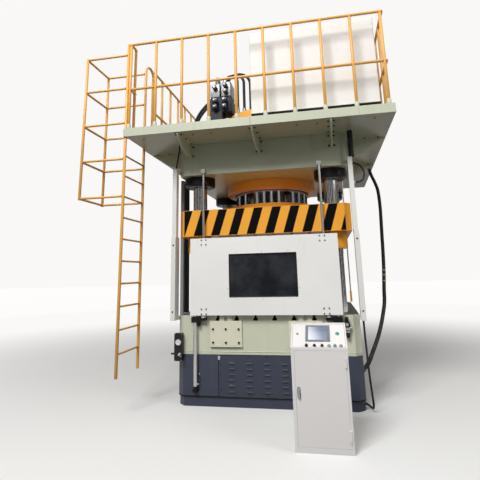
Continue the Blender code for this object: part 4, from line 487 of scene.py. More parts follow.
class Form:
    """A mesh that grows by boxes, turned profiles, bars, tubes and prisms. Each shape gives the form back."""

    def __init__(self):
        self.bm = bmesh.new()

    def softened(self, verts, edge, segments):
        """Bevels the sharp edges that meet at these corners."""
        if edge:
            edges = dict.fromkeys(e for v in verts for e in v.link_edges)
            sharp = [e for e in edges if len(e.link_faces) == 2 and e.calc_face_angle() > SHARP]
            bmesh.ops.bevel(self.bm, geom=sharp, offset=edge, segments=segments, affect="EDGES", profile=0.6)

    def box(self, low, high, edge=0.0, segments=2, turn=None):
        low, high = Vector(low), Vector(high)
        place = Matrix.Translation((low + high) / 2)
        if turn is not None:
            place = turn @ place
        size = Matrix.Diagonal((*(high - low), 1.0))
        made = bmesh.ops.create_cube(self.bm, size=1.0, matrix=place @ size)
        self.softened(made["verts"], edge, segments)
        return self

    def turned(self, profile, place, axis=UP, sides=32):
        """Revolves points of radius and height about an axis. A third value makes that ring a hexagon."""
        turn = Vector(axis).to_track_quat("Z", "Y").to_matrix().to_4x4()
        if Vector(axis).normalized().z > 0.9999:
            turn = Matrix.Identity(4)
        matrix = Matrix.Translation(place) @ turn
        rings = []
        for radius, height, *shape in profile:
            if radius == 0:
                rings.append([self.bm.verts.new(matrix @ Vector((0, 0, height)))])
                continue
            ring = []
            for i in range(sides):
                angle = 2 * math.pi * i / sides
                reach = radius
                if shape:
                    flat = math.cos(HEX_SECTOR / 2)
                    reach = radius * flat / math.cos((angle % HEX_SECTOR) - HEX_SECTOR / 2)
                corner = Vector((reach * math.cos(angle), reach * math.sin(angle), height))
                ring.append(self.bm.verts.new(matrix @ corner))
            rings.append(ring)
        for a, b in zip(rings, rings[1:]):
            for i in range(sides):
                j = (i + 1) % sides
                if len(a) == 1 and len(b) == 1:
                    continue
                if len(a) == 1:
                    self.bm.faces.new((a[0], b[j], b[i]))
                elif len(b) == 1:
                    self.bm.faces.new((a[i], a[j], b[0]))
                else:
                    self.bm.faces.new((a[i], a[j], b[j], b[i]))
        return self

    def bar(self, start, end, radius, sides=24, edge=0.0):
        start, end = Vector(start), Vector(end)
        length = (end - start).length
        edge = edge or min(radius, length) * 0.08
        profile = [(0, 0), (radius - edge, 0), (radius, edge), (radius, length - edge),
                   (radius - edge, length), (0, length)]
        return self.turned(profile, start, end - start, sides)

    def bolt(self, place, axis, size):
        """A hexagon head on a washer; size is the thread."""
        washer = size * 1.05
        head = size * 0.92
        thick = size * 0.18
        high = thick + size * 0.62
        self.turned([(0, 0), (washer, 0), (washer, thick), (0, thick)], place, axis, 24)
        return self.turned([(0, thick, 1), (head, thick, 1), (head, high - size * 0.08, 1),
                            (head * 0.9, high, 1), (0, high, 1)], place, axis, 24)

    def cap_screw(self, place, axis, size):
        """A round head with a hexagon socket."""
        radius, high = size * 0.78, size * 0.9
        return self.turned([(0, 0), (radius, 0), (radius, high * 0.88), (radius * 0.93, high),
                            (size * 0.44, high, 1), (size * 0.44, high * 0.42, 1), (0, high * 0.38, 1)],
                           place, axis, 24)

    def dome_screw(self, place, axis, radius):
        """A low round head with a hollow in its middle."""
        rows = ((1.0, 0.0), (0.96, 0.22), (0.72, 0.45), (0.34, 0.54), (0.22, 0.34), (0.0, 0.30))
        return self.turned([(0, 0), *[(radius * out, radius * rise) for out, rise in rows]], place, axis, 18)

    def tube(self, points, radius, sides):
        """A round tube along points, its section carried on without twist; a list of radii makes it swell."""
        points = [Vector(p) for p in points]
        ways = [(b - a).normalized() for a, b in zip(points, points[1:])]
        tangents = [ways[0]] + [(a + b).normalized() for a, b in zip(ways, ways[1:])] + [ways[-1]]
        side = tangents[0].orthogonal().normalized()
        rings = []
        for i, (point, along) in enumerate(zip(points, tangents)):
            side = (side - along * side.dot(along)).normalized()
            other = along.cross(side)
            spread = radius[i] if isinstance(radius, (list, tuple)) else radius
            rings.append([self.bm.verts.new(point + (side * math.cos(t) + other * math.sin(t)) * spread)
                          for t in [2 * math.pi * k / sides for k in range(sides)]])
        self.bridged(rings)
        self.bm.faces.new(rings[0][::-1])
        self.bm.faces.new(rings[-1])
        return self

    def bridged(self, rings):
        """Faces between rings of as many corners each, one after the other."""
        for a, b in zip(rings, rings[1:]):
            for i in range(len(a)):
                j = (i + 1) % len(a)
                self.bm.faces.new((a[i], a[j], b[j], b[i]))

    def prism(self, outline, low, high, plane="XY", edge=0.0):
        """An outline in the plane XY or XZ, thick from low to high across it."""
        first, last = [[self.bm.verts.new((u, v, w) if plane == "XY" else (u, w, v)) for u, v in outline]
                       for w in (low, high)]
        self.bm.faces.new(first)
        self.bm.faces.new(last[::-1])
        for i in range(len(outline)):
            j = (i + 1) % len(outline)
            self.bm.faces.new((first[i], last[i], last[j], first[j]))
        self.softened(first + last, edge, 2)
        return self

    def weld(self, place, axis, radius, size=0.004):
        """A ring of weld round a tube."""
        inside = radius - 0.001
        swell = [(radius + size * out, size * along) for out, along in ((0.6, -0.6), (0.75, 0.0), (0.5, 0.7))]
        return self.turned([(inside, -size), *swell, (inside, size), (inside, -size)], place, axis, 20)

    def ball(self, place, radius):
        rows = [math.pi * k / 10 for k in range(1, 10)]
        return self.turned([(0, -radius), *[(radius * math.sin(t), -radius * math.cos(t)) for t in rows],
                            (0, radius)], place, sides=20)

    def piece(self, name, look, body="frame", smooth=35.0):
        """Makes the form an object that rides a body."""
        bmesh.ops.recalc_face_normals(self.bm, faces=self.bm.faces)
        mesh = bpy.data.meshes.new(name)
        self.bm.to_mesh(mesh)
        self.bm.free()
        mesh.shade_smooth()
        mesh.set_sharp_from_angle(angle=math.radians(smooth))
        mesh.materials.append(LOOKS[look].material)
        obj = bpy.data.objects.new(name, mesh)
        bpy.context.scene.collection.objects.link(obj)
        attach(obj, body)
        return obj


def body_of(node):
    """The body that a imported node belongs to."""
    for body, members in frame["record"]["behaviour"]["bodies"].items():
        if node in members:
            return body


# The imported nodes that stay: eased edges and their own finish

def dress(names, look, edge=0.0):
    """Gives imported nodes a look, and eases their sharp edges by that width."""
    for name in names.split():
        obj = NODES[name]
        obj.data.materials.clear()
        obj.data.materials.append(LOOKS[look].material)
        if edge:
            weld = obj.modifiers.new("weld", "WELD")
            weld.merge_threshold = 0.00002
            flat = obj.modifiers.new("flat", "DECIMATE")
            flat.decimate_type = "DISSOLVE"
            flat.angle_limit = math.radians(0.6)
            ease = obj.modifiers.new("ease", "BEVEL")
            ease.width = edge
            ease.segments = 2
            ease.limit_method = "ANGLE"
            ease.angle_limit = math.radians(40)
            ease.harden_normals = True


for facts in (
    ("base_skirt", "slate", 0.003),
    ("louvre_panel", "louvre", 0.0015),
    ("bed", "bed", 0.004),
    ("bed_cover_left bed_cover_right", "cover", 0.004),
    ("crown deck", "cream", 0.004),
    ("front_gusset_left front_gusset_middle front_gusset_right", "cream", 0.002),
    ("slide", "banded", 0.004),
    ("pump_enclosure side_post_left side_post_right", "white", 0.002),
    ("guard_door", "door", 0.002),
    ("console_body", "console", 0.002),
    ("console_door", "console"),
    ("lift_rod_left lift_rod_right", "chrome"),
    ("guide_rod_left guide_rod_right position_rod", "steel"),
    ("side_bar_left", "grey", 0.002),
    ("cable_duct_left gauge_panel post_conduit_right", "plastic", 0.001),
    ("door_window", "smoke"),
):
    dress(*facts)


# Cables and hoses

def smooth_route(points, spacing):
    """Points at even steps along one smooth curve through the given points."""
    knots = [Vector(point) for point in points]
    knots = [knots[0] * 2 - knots[1], *knots, knots[-1] * 2 - knots[-2]]
    fine = []
    for i in range(1, len(knots) - 2):
        a, b, c, d = knots[i - 1:i + 3]
        for step in range(24):
            t = step / 24
            fine.append((b * 2 + (c - a) * t + (a * 2 - b * 5 + c * 4 - d) * t ** 2
                         + (b * 3 - a - c * 3 + d) * t ** 3) / 2)
    fine.append(knots[-2])
    runs = [0.0]
    for a, b in zip(fine, fine[1:]):
        runs.append(runs[-1] + (b - a).length)
    count = max(3, round(runs[-1] / spacing))
    route = []
    k = 0
    for i in range(count):
        wanted = runs[-1] * i / count
        while runs[k + 1] < wanted:
            k += 1
        route.append(fine[k].lerp(fine[k + 1], (wanted - runs[k]) / (runs[k + 1] - runs[k])))
    route.append(fine[-1])
    return route


CORDS = {
    "post_cable_left": (0.010, "medium", "hanging", [
        (-1.124, -1.200, 3.345), (-1.126, -1.199, 3.280), (-1.139, -1.198, 3.200),
        (-1.153, -1.197, 3.110), (-1.168, -1.196, 3.022)]),
    "crown_cable_loop": (0.012, "stiff", "hanging", [
        (1.160, -0.950, 2.990), (1.215, -0.955, 2.990), (1.296, -0.985, 2.955), (1.343, -1.035, 2.875),
        (1.349, -1.090, 2.790), (1.318, -1.140, 2.715), (1.266, -1.172, 2.683), (1.218, -1.185, 2.677)]),
    "power_hose": (0.0275, "stiff", "hanging", [
        (1.645, 1.000, 3.335), (1.668, 0.990, 3.230), (1.715, 0.970, 3.090), (1.750, 0.945, 2.930),
        (1.755, 0.900, 2.660), (1.742, 0.850, 2.400), (1.724, 0.780, 2.150), (1.706, 0.700, 1.900),
        (1.676, 0.580, 1.590), (1.636, 0.450, 1.290), (1.612, 0.350, 1.110), (1.562, 0.230, 0.950),
        (1.504, 0.100, 0.805), (1.440, -0.045, 0.680), (1.372, -0.190, 0.575), (1.310, -0.320, 0.485),
        (1.258, -0.425, 0.412), (1.218, -0.485, 0.368), (1.178, -0.520, 0.345)]),
    "floor_cable": (0.012, "medium", "hanging", [
        (1.180, -1.165, 0.995), (1.181, -1.168, 0.920), (1.182, -1.175, 0.800), (1.186, -1.182, 0.650),
        (1.190, -1.188, 0.500), (1.197, -1.192, 0.350), (1.206, -1.192, 0.210), (1.213, -1.178, 0.120),
        (1.214, -1.135, 0.058), (1.207, -1.070, 0.034), (1.190, -1.005, 0.032), (1.166, -0.963, 0.040),
        (1.150, -0.948, 0.044)]),
}


def run_cord(name, radius, stiffness, lay, route):
    """A round cord along its route, standing in for the plain tube of that name."""
    points = smooth_route(route, radius * 1.6)
    curve = bpy.data.curves.new(name, "CURVE")
    curve.dimensions = "3D"
    curve.bevel_depth = radius
    curve.bevel_resolution = 6
    curve.use_fill_caps = True
    spline = curve.splines.new("POLY")
    spline.points.add(len(points) - 1)
    for point, place in zip(spline.points, points):
        point.co = (*place, 1.0)
    spline.use_smooth = True
    curve.materials.append(LOOKS["rubber"].material)
    obj = bpy.data.objects.new(name + "_sheath", curve)
    bpy.context.scene.collection.objects.link(obj)
    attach(obj, "frame")
    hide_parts(name)
    length = sum((b - a).length for a, b in zip(points, points[1:]))


for cord_name, cord_facts in CORDS.items():
    run_cord(cord_name, *cord_facts)


# Round pieces, turned finer than their solids

def replaced(form, node, look, name=None, smooth=35.0):
    """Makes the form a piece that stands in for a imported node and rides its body."""
    obj = form.piece(name or node + "_finished", look, body_of(node), smooth)
    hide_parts(node)


COLUMN_X, COLUMN_Y, COLUMN_RADIUS = 0.92, 0.865, 0.098
COLLAR_BORE, COLLAR_RADIUS = 0.0985, 0.215
COLLAR_LOW, COLLAR_SPLIT, COLLAR_TOP = 2.791, 2.858, CROWN_BOTTOM - SEAT
COLLAR_CHAMFER, SPLIT_DEPTH, SPLIT_HALF = 0.020, 0.005, 0.002
BARREL_RADIUS, HEAD_RADIUS, RING_RADIUS = 0.64, 0.72, 0.69
RAM_RADIUS, RAM_CHAMFER, RAM_BORE = 0.56, 0.02, 0.561
SEAL_OUT, HEAD_BOLT_CIRCLE, HEAD_BOLTS, HEAD_BOLT = 0.575, 0.60, 16, 0.0205
FINE_ROUND, FINEST_ROUND = 96, 160


def heights(node):
    """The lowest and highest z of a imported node."""
    return [corner.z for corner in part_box(node)]


def column(place, x, y):
    """A chromed column and the split black collar that clamps it under the crown."""
    low, high = heights("column_" + place)
    pillar = Form().turned([(0, low), (COLUMN_RADIUS, low), (COLUMN_RADIUS, high), (0, high)], (x, y, 0),
                           sides=FINE_ROUND)
    replaced(pillar, "column_" + place, "chrome")
    groove, lip = COLLAR_RADIUS - SPLIT_DEPTH, COLLAR_LOW + 0.006
    collar = Form().turned([
        (COLLAR_BORE, COLLAR_TOP), (COLLAR_RADIUS - 0.002, COLLAR_TOP), (COLLAR_RADIUS, COLLAR_TOP - 0.002),
        (COLLAR_RADIUS, COLLAR_SPLIT + 2 * SPLIT_HALF), (groove, COLLAR_SPLIT + SPLIT_HALF),
        (groove, COLLAR_SPLIT - SPLIT_HALF), (COLLAR_RADIUS, COLLAR_SPLIT - 2 * SPLIT_HALF),
        (COLLAR_RADIUS, COLLAR_LOW + COLLAR_CHAMFER), (COLLAR_RADIUS - COLLAR_CHAMFER, COLLAR_LOW),
        (0.112, COLLAR_LOW), (0.107, lip), (COLLAR_BORE, lip), (COLLAR_BORE, COLLAR_TOP)],
        (x, y, 0), sides=FINE_ROUND)
    replaced(collar, "column_collar_" + place, "black")


def ram():
    low, high = heights("main_ram")
    form = Form().turned([(0, high), (RAM_RADIUS - RAM_CHAMFER, high), (RAM_RADIUS, high - RAM_CHAMFER),
                          (RAM_RADIUS, low), (0, low)], (0, 0, 0), sides=FINEST_ROUND)
    # the ram takes the darker, painted-shade copy of the chrome
    replaced(form, "main_ram", "ram_chrome_painted_shade")


def main_cylinder():
    """The barrel through the crown, its ring flange below with a seal, and its head on the deck."""
    low, high = heights("main_cylinder")
    head_foot, roof, seal = DECK_TOP + 0.001, high - 0.07, low + 0.001
    shell = Form().turned([
        (0, high), (0.30, high), (0.306, high - 0.006), (0.312, high), (0.676, high), (0.690, high - 0.004),
        (HEAD_RADIUS - 0.0035, high - 0.024), (HEAD_RADIUS, high - 0.036), (HEAD_RADIUS, DECK_TOP + 0.035),
        (HEAD_RADIUS - 0.005, DECK_TOP + 0.030), (HEAD_RADIUS - 0.005, head_foot), (BARREL_RADIUS, head_foot),
        (BARREL_RADIUS, COLLAR_TOP), (RING_RADIUS - 0.006, COLLAR_TOP),
        (RING_RADIUS - 0.006, COLLAR_TOP - 0.010), (RING_RADIUS, COLLAR_TOP - 0.014),
        (RING_RADIUS, low + 0.010), (RING_RADIUS - 0.010, low),
        (0.585, low), (0.583, low + 0.010), (RAM_BORE, low + 0.010), (RAM_BORE, roof), (0, roof)],
        (0, 0, 0), sides=FINEST_ROUND)
    replaced(shell, "main_cylinder", "yellow")
    wiper = Form().turned([(RAM_BORE, low + 0.008), (RAM_BORE, seal), (SEAL_OUT, seal),
                           (SEAL_OUT + 0.007, low + 0.008)], (0, 0, 0), sides=FINEST_ROUND)
    wiper.piece("ram_wiper_seal", "rubber")
    bolts = Form()
    for i in range(HEAD_BOLTS):
        turn = 2 * math.pi * (i + 0.5) / HEAD_BOLTS
        bolts.bolt((HEAD_BOLT_CIRCLE * math.cos(turn), HEAD_BOLT_CIRCLE * math.sin(turn), high - 0.021), UP,
                   HEAD_BOLT)
    bolts.piece("cylinder_head_bolts", "black")


for end, y in (("front", -COLUMN_Y), ("rear", COLUMN_Y)):
    for hand, x in (("left", -COLUMN_X), ("right", COLUMN_X)):
        column(f"{end}_{hand}", x, y)
ram()
main_cylinder()


# Railings, ladder and cage, in round tube welded where it meets

RAIL_LEVELS = (4.695, 4.030)
POST_TUBE, RAIL_TUBE, RETURN_TUBE, CAGE_TUBE, RUNG_TUBE = 0.019, 0.0178, 0.0165, 0.015, 0.012
RAIL_FRONT, RAIL_BACK, RAIL_SIDE = -1.728, 2.753, 1.665
POST_PITCH, SIDE_PITCH, FIRST_POST = 0.365, 0.376, -1.6425
STILE_X, NEAR_STILE, FAR_STILE = -1.686, -1.720, -1.143
STILE_FOOT = 0.422
STILE_BEND = 0.107
DESCENT = FAR_STILE + 2 * STILE_BEND
RUNGS, FIRST_RUNG, RUNG_PITCH = 11, 0.262, 0.27
CAGE_OUT, CAGE_LOW, CAGE_PITCH, CAGE_HOOPS, CAGE_UPRIGHT = -2.302, 2.576, 0.494, 5, 0.018
FRONT_POSTS, RIGHT_POSTS, LEFT_POSTS = 10, 11, 9

ACROSS_DECK = [FIRST_POST + POST_PITCH * i for i in range(FRONT_POSTS)]
POSTS = {
    "front_railing": [(x, RAIL_FRONT, ALONG_X) for x in ACROSS_DECK],
    "rear_railing": [(x, RAIL_BACK, ALONG_X) for x in ACROSS_DECK],
    "right_railing": [(RAIL_SIDE, RAIL_FRONT + SIDE_PITCH * (i + 1), ALONG_Y) for i in range(RIGHT_POSTS)],
    "left_railing": [(-RAIL_SIDE, DESCENT + SIDE_PITCH * (i + 1), ALONG_Y) for i in range(LEFT_POSTS)],
}


def railing(name, posts, runs, corner=None):
    """Posts that end under a top rail, with a middle rail through them."""
    form, welds = Form(), Form()
    for x, y, along in posts:
        form.bar((x, y, FOOT), (x, y, RAIL_LEVELS[0] - 0.003), POST_TUBE, 20)
        welds.weld((x, y, RAIL_LEVELS[0] - RAIL_TUBE), UP, POST_TUBE)
        for side in (-1, 1):
            welds.weld(Vector((x, y, RAIL_LEVELS[1])) + Vector(along) * side * POST_TUBE, along, RAIL_TUBE)
    for start, end, radius in runs:
        for z in RAIL_LEVELS:
            form.bar((*start, z), (*end, z), radius, 20)
    if corner:
        for z in RAIL_LEVELS:
            form.ball((*corner, z), RAIL_TUBE)
    replaced(form, name, "rail", smooth=50.0)
    welds.piece(name + "_welds", "rail_weld", smooth=60.0)


def railings():
    """Four railings; the front one has a short return beside the ladder, and the others stop at its posts."""
    return_post = (ACROSS_DECK[0], -1.589)
    gap = POST_TUBE + SEAT
    front, back = RAIL_FRONT + gap, RAIL_BACK - gap
    railing("front_railing", [*POSTS["front_railing"], (*return_post, ALONG_Y)],
            [((STILE_X + gap, RAIL_FRONT), (RAIL_SIDE, RAIL_FRONT), RAIL_TUBE),
             ((ACROSS_DECK[0], RAIL_FRONT), return_post, RETURN_TUBE)], (RAIL_SIDE, RAIL_FRONT))
    for name, start, end in (("rear_railing", (-RAIL_SIDE, RAIL_BACK), (RAIL_SIDE, RAIL_BACK)),
                             ("right_railing", (RAIL_SIDE, front), (RAIL_SIDE, back)),
                             ("left_railing", (-RAIL_SIDE, DESCENT + gap), (-RAIL_SIDE, back))):
        railing(name, POSTS[name], [(start, end, RAIL_TUBE)])


def ladder():
    """Two stiles with rungs; the far one bends over at the railing's height and comes down on the deck."""
    form, welds = Form(), Form()
    stile_top = RAIL_LEVELS[0] + POST_TUBE
    form.bar((STILE_X, NEAR_STILE, STILE_FOOT), (STILE_X, NEAR_STILE, stile_top), POST_TUBE, 24)
    lean = -RAIL_SIDE - STILE_X
    bend = [(STILE_X, FAR_STILE, STILE_FOOT)]
    for k in range(17):
        turn = math.pi * k / 16
        share = (1 - math.cos(turn)) / 2
        bend.append((STILE_X + lean * share, FAR_STILE + 2 * STILE_BEND * share,
                     RAIL_LEVELS[0] - STILE_BEND * (1 - math.sin(turn))))
    bend.append((-RAIL_SIDE, DESCENT, FOOT))
    form.tube(bend, POST_TUBE, 24)
    for k in range(RUNGS):
        z = STILE_FOOT + FIRST_RUNG + RUNG_PITCH * k
        form.bar((STILE_X, NEAR_STILE + 0.004, z), (STILE_X, FAR_STILE - 0.004, z), RUNG_TUBE, 20)
        welds.weld((STILE_X, NEAR_STILE + POST_TUBE, z), ALONG_Y, RUNG_TUBE)
        welds.weld((STILE_X, FAR_STILE - POST_TUBE, z), ALONG_Y, RUNG_TUBE)
    for y in (NEAR_STILE + POST_TUBE, FAR_STILE - POST_TUBE):
        form.box((STILE_X, y - POST_TUBE, CROWN_TOP + 0.003),
                 (-DECK_SIDE + 0.0497, y + POST_TUBE, CROWN_TOP + 0.053), 0.003)
    replaced(form, "ladder", "rail", smooth=50.0)
    welds.piece("ladder_welds", "rail_weld", smooth=60.0)


def ladder_cage():
    """Square hoops round the climber, joined by an upright at each outer corner."""
    form, welds = Form(), Form()
    inner = STILE_X - POST_TUBE - SEAT
    for k in range(CAGE_HOOPS):
        z = CAGE_LOW + CAGE_PITCH * k
        form.bar((CAGE_OUT, NEAR_STILE, z), (CAGE_OUT, FAR_STILE, z), CAGE_TUBE, 20)
        for y, way in ((NEAR_STILE, 1), (FAR_STILE, -1)):
            form.bar((CAGE_OUT, y, z), (inner, y, z), CAGE_TUBE, 20)
            welds.weld((inner - 0.002, y, z), ALONG_X, CAGE_TUBE)
            welds.weld((CAGE_OUT + CAGE_UPRIGHT, y, z), ALONG_X, CAGE_TUBE)
            welds.weld((CAGE_OUT, y + way * CAGE_UPRIGHT, z), ALONG_Y, CAGE_TUBE)
    foot, top = CAGE_LOW - CAGE_UPRIGHT, CAGE_LOW + CAGE_PITCH * (CAGE_HOOPS - 1) + CAGE_UPRIGHT
    for y in (NEAR_STILE, FAR_STILE):
        form.bar((CAGE_OUT, y, foot), (CAGE_OUT, y, top), CAGE_UPRIGHT, 24)
    replaced(form, "ladder_cage", "rail", smooth=50.0)
    welds.piece("cage_welds", "rail_weld", smooth=60.0)


railings()
ladder()
ladder_cage()


# Valve stack beside the cylinder's head

VALVE_X, VALVE_Y, VALVE_LOW, VALVE_HIGH = -0.67, -0.45, 4.050, 4.550
VALVE_LEFT, VALVE_RIGHT = VALVE_X - 0.17, VALVE_X + 0.17
VALVE_FRONT, VALVE_BACK = VALVE_Y - 0.15, VALVE_Y + 0.15
COIL_HALF, COIL_BACK, COIL_FRONT = 0.038, 0.018, 0.092
HOSE_START_X, HOSE_ENDS = -0.60, ((-0.40, -0.56), (-0.31, -0.49), (-0.22, -0.42))
FERRULE_RIBS = ((0.0275, 0.022), (0.0275, 0.030), (0.0300, 0.032), (0.0300, 0.048), (0.0280, 0.050),
                (0.0300, 0.052), (0.0300, 0.068), (0.0280, 0.070), (0.0300, 0.072), (0.0300, 0.086))
PLAIN_FERRULE = [(0, 0), (0.0275, 0), (0.0275, 0.045), (0.021, 0.050)]
RETURN_OUT, RETURN_RISE = 0.36, 0.80
RETURN_ARC = ((0.28, 0.93), (0.62, 0.74), (0.88, 0.46), (1.0, 0.2), (1.0, 0.0))
RETURN_Z = 4.2725


def valve_manifold():
    """A foot on the deck, the drilled block and a plate on it."""
    form = Form()
    form.box((-0.86, -0.62, FOOT), (-0.64, -0.38, VALVE_LOW + 0.003), 0.004)
    form.box((VALVE_LEFT, VALVE_FRONT, VALVE_LOW), (VALVE_RIGHT, VALVE_BACK, VALVE_LOW + 0.235), 0.006)
    form.box((VALVE_LEFT + 0.010, VALVE_FRONT + 0.012, VALVE_LOW + 0.232),
             (VALVE_RIGHT - 0.010, VALVE_BACK - 0.012, VALVE_LOW + 0.256), 0.002)
    replaced(form, "valve_block", "manifold", "valve_manifold")


def valve_bodies():
    """Two cast bodies on the manifold, with adjusters on their faces and a pilot valve on the left one."""
    form = Form()
    low, high = VALVE_LOW + 0.254, VALVE_HIGH
    form.box((VALVE_LEFT + 0.003, VALVE_FRONT + 0.006, low),
             (VALVE_X - 0.012, VALVE_BACK - 0.006, high - 0.02), 0.012, 3)
    form.box((VALVE_X + 0.008, VALVE_FRONT + 0.002, low),
             (VALVE_RIGHT - 0.003, VALVE_BACK - 0.004, high), 0.014, 3)
    for x in (VALVE_X + 0.032, VALVE_RIGHT - 0.030):
        for y in (VALVE_FRONT + 0.03, VALVE_BACK - 0.03):
            form.cap_screw((x, y, high), UP, 0.016)
    form.turned([(0, high - 0.02), (0.047, high - 0.02), (0.047, high + 0.02), (0.043, high + 0.028),
                 (0.043, high + 0.085), (0.034, high + 0.10), (0.034, high + 0.142), (0.028, high + 0.15),
                 (0, high + 0.15)], (VALVE_X - 0.075, VALVE_Y, 0), sides=36)
    for x, z, reach in ((VALVE_X + 0.085, high - 0.075, 0.075), (VALVE_X + 0.085, high - 0.170, 0.060),
                        (VALVE_X - 0.085, high - 0.095, 0.055)):
        form.turned([(0.040, 0, 1), (0.040, 0.022, 1), (0.036, 0.026), (0.036, reach), (0.031, reach + 0.006),
                     (0.024, reach + 0.008), (0.024, reach + 0.024, 1), (0, reach + 0.024, 1)],
                    (x, VALVE_FRONT + 0.002, z), FORWARD, 24)
    form.piece("valve_bodies", "cast")


def valve_coils():
    """Four solenoid coils on the manifold's face, each with its nuts and its plug."""
    coils, nuts, plugs = Form(), Form(), Form()
    front = VALVE_FRONT
    for x in (VALVE_X - 0.075, VALVE_X + 0.075):
        for z in (VALVE_LOW + 0.060, VALVE_LOW + 0.165):
            nuts.turned([(0, 0.0), (0.036, 0.0, 1), (0.036, 0.018, 1), (0, 0.018, 1)], (x, front, z),
                        FORWARD, 24)
            coils.box((x - COIL_HALF, front - COIL_FRONT, z - COIL_HALF),
                      (x + COIL_HALF, front - COIL_BACK, z + COIL_HALF), 0.010, 3)
            nuts.turned([(0.020, 0.090, 1), (0.020, 0.108, 1), (0.014, 0.110), (0.014, 0.126), (0.010, 0.130),
                         (0, 0.130)], (x, front, z), FORWARD, 24)
            plugs.box((x - 0.016, front - 0.078, z + 0.037), (x + 0.016, front - 0.032, z + 0.062), 0.004)
            plugs.bar((x, front - 0.055, z + 0.050), (x - 0.045, front - 0.055, z + 0.052), 0.009, 16)
    coils.piece("valve_coils", "blue_plastic")
    nuts.piece("valve_coil_nuts", "galvanised")
    plugs.piece("valve_coil_plugs", "plastic")


def valve_hoses():
    """Three hoses that arch over to the cylinder's head, and two that drop to the deck on the left."""
    hoses, ferrules = Form(), Form()
    for end_x, y in HOSE_ENDS:
        reach = (end_x - HOSE_START_X) / 2
        route = [(HOSE_START_X, y, VALVE_HIGH - 0.003)]
        for k in range(25):
            turn = math.pi * k / 24
            route.append((HOSE_START_X + reach * (1 - math.cos(turn)), y,
                          VALVE_HIGH + reach * math.sin(turn)))
        route.append((end_x, y, HEAD_TOP + 0.02))
        hoses.tube(route, 0.022, 20)
        ferrules.turned([(0, 0), (0.030, 0, 1), (0.030, 0.020, 1), *FERRULE_RIBS, (0.0230, 0.090)],
                        (end_x, y, HEAD_TOP + SEAT), UP, 24)
        ferrules.turned([(0.0300, 0.0), (0.0300, 0.050), (0.0230, 0.054)],
                        (HOSE_START_X, y, VALVE_HIGH - 0.002), UP, 24)
    for y in (VALVE_Y - 0.045, VALVE_Y + 0.045):
        route = [(VALVE_LEFT + 0.003, y, RETURN_Z + 0.0005), (VALVE_LEFT - 0.03, y, RETURN_Z - 0.0005)]
        route += [(VALVE_LEFT - RETURN_OUT * out, y, FOOT + RETURN_RISE * rise) for out, rise in RETURN_ARC]
        hoses.tube(smooth_route(route, 0.03), 0.020, 20)
        ferrules.turned(PLAIN_FERRULE, (VALVE_LEFT - 0.001, y, RETURN_Z), (-1, 0, 0), 24)
        ferrules.turned(PLAIN_FERRULE, (VALVE_LEFT - RETURN_OUT, y, FOOT), UP, 24)
    hoses.piece("valve_hoses", "rubber", smooth=50.0)
    ferrules.piece("hose_ferrules", "galvanised", smooth=50.0)


valve_manifold()
valve_bodies()
valve_coils()
valve_hoses()


# Dark joints, painted shade in the louvres' mouths and as the enclosure's near-black base frame, and the
# hose's tape

PROUD = 0.0007
PANEL_JOINTS = ((-0.6095, 0.122, -0.5995, 0.597), (-0.6035, 0.593, 0.8325, 0.5965),
                (0.829, 0.122, 0.834, 0.597))
PLINTH_LINE = (0.109, 0.1235)
DECK_SEAM_X, DECK_SEAM_HALF = -0.012, 0.0018
BED_OUTLINE = [(-BED_SIDE, BED_CORNER), (-BED_SIDE, -BED_CORNER), (-1.065, BED_FRONT), (1.065, BED_FRONT),
               (BED_SIDE, -BED_CORNER), (BED_SIDE, BED_CORNER)]


def seams():
    """Joints round the louvre panel, over the plinth and in the deck's fascia."""
    form = Form()
    for left, low, right, high in PANEL_JOINTS:
        form.box((left, BED_FRONT - PROUD, low), (right, BED_FRONT + 0.001, high))
    outer = [(x * (1 + PROUD), y * (1 + PROUD)) for x, y in BED_OUTLINE]
    inner = [(x * 0.998, y * 0.998) for x, y in BED_OUTLINE]
    form.prism(outer + inner[::-1], *PLINTH_LINE)
    form.box((DECK_SEAM_X - DECK_SEAM_HALF, DECK_FRONT - PROUD, CROWN_TOP + 0.001),
             (DECK_SEAM_X + DECK_SEAM_HALF, DECK_FRONT + 0.001, DECK_TOP - 0.001))
    form.piece("seam_lines", "gap")


def enclosure_base():
    """The base frame that the white enclosure stands on, near-black as painted shadow under the enclosure."""
    form = Form()
    form.box((-0.0306, -1.5306, 3.5725), (1.5806, -0.8294, 3.5960), 0.001)
    form.box((0.095, -1.400, FOOT), (1.455, -0.960, 3.5725), 0.001)
    form.piece("enclosure_base_frame", "gap")


LOUVRE_ROWS = LOUVRE_COLUMNS = 6
LOUVRE_X, LOUVRE_PITCH_X = -0.60 + 0.168, 0.2187
LOUVRE_Z, LOUVRE_PITCH_Z = SKIRT_TOP - 0.106, 0.0648
MOUTH_HALF, MOUTH_DEPTH, MOUTH_LOW, MOUTH_HIGH = 0.036, 0.0112, 0.0042, 0.0002


def louvre_mouth_shade():
    """Near-black boxes in the mouth under each louvre's hood: painted shade in the openings."""
    form = Form()
    for column_number in range(LOUVRE_COLUMNS):
        x = LOUVRE_X + LOUVRE_PITCH_X * column_number
        for row in range(LOUVRE_ROWS):
            z = LOUVRE_Z - LOUVRE_PITCH_Z * row
            form.box((x - MOUTH_HALF, BED_FRONT - MOUTH_DEPTH, z - MOUTH_LOW),
                     (x + MOUTH_HALF, BED_FRONT - SEAT, z - MOUTH_HIGH))
    form.piece("louvre_mouth_shade", "gap")


def hose_tape():
    """Bands of marking tape wound on the power hose at one place."""
    radius, *manner, route = CORDS["power_hose"]
    points = smooth_route(route, 0.02)
    form = Form()
    for share in (0.505, 0.530, 0.556):
        k = round(share * (len(points) - 1))
        form.tube(points[k:k + 2], radius + 0.0015, 32)
    form.piece("hose_tape", "tape", smooth=50.0)


seams()
enclosure_base()
louvre_mouth_shade()
hose_tape()


# Bolts, screws, sockets and welds

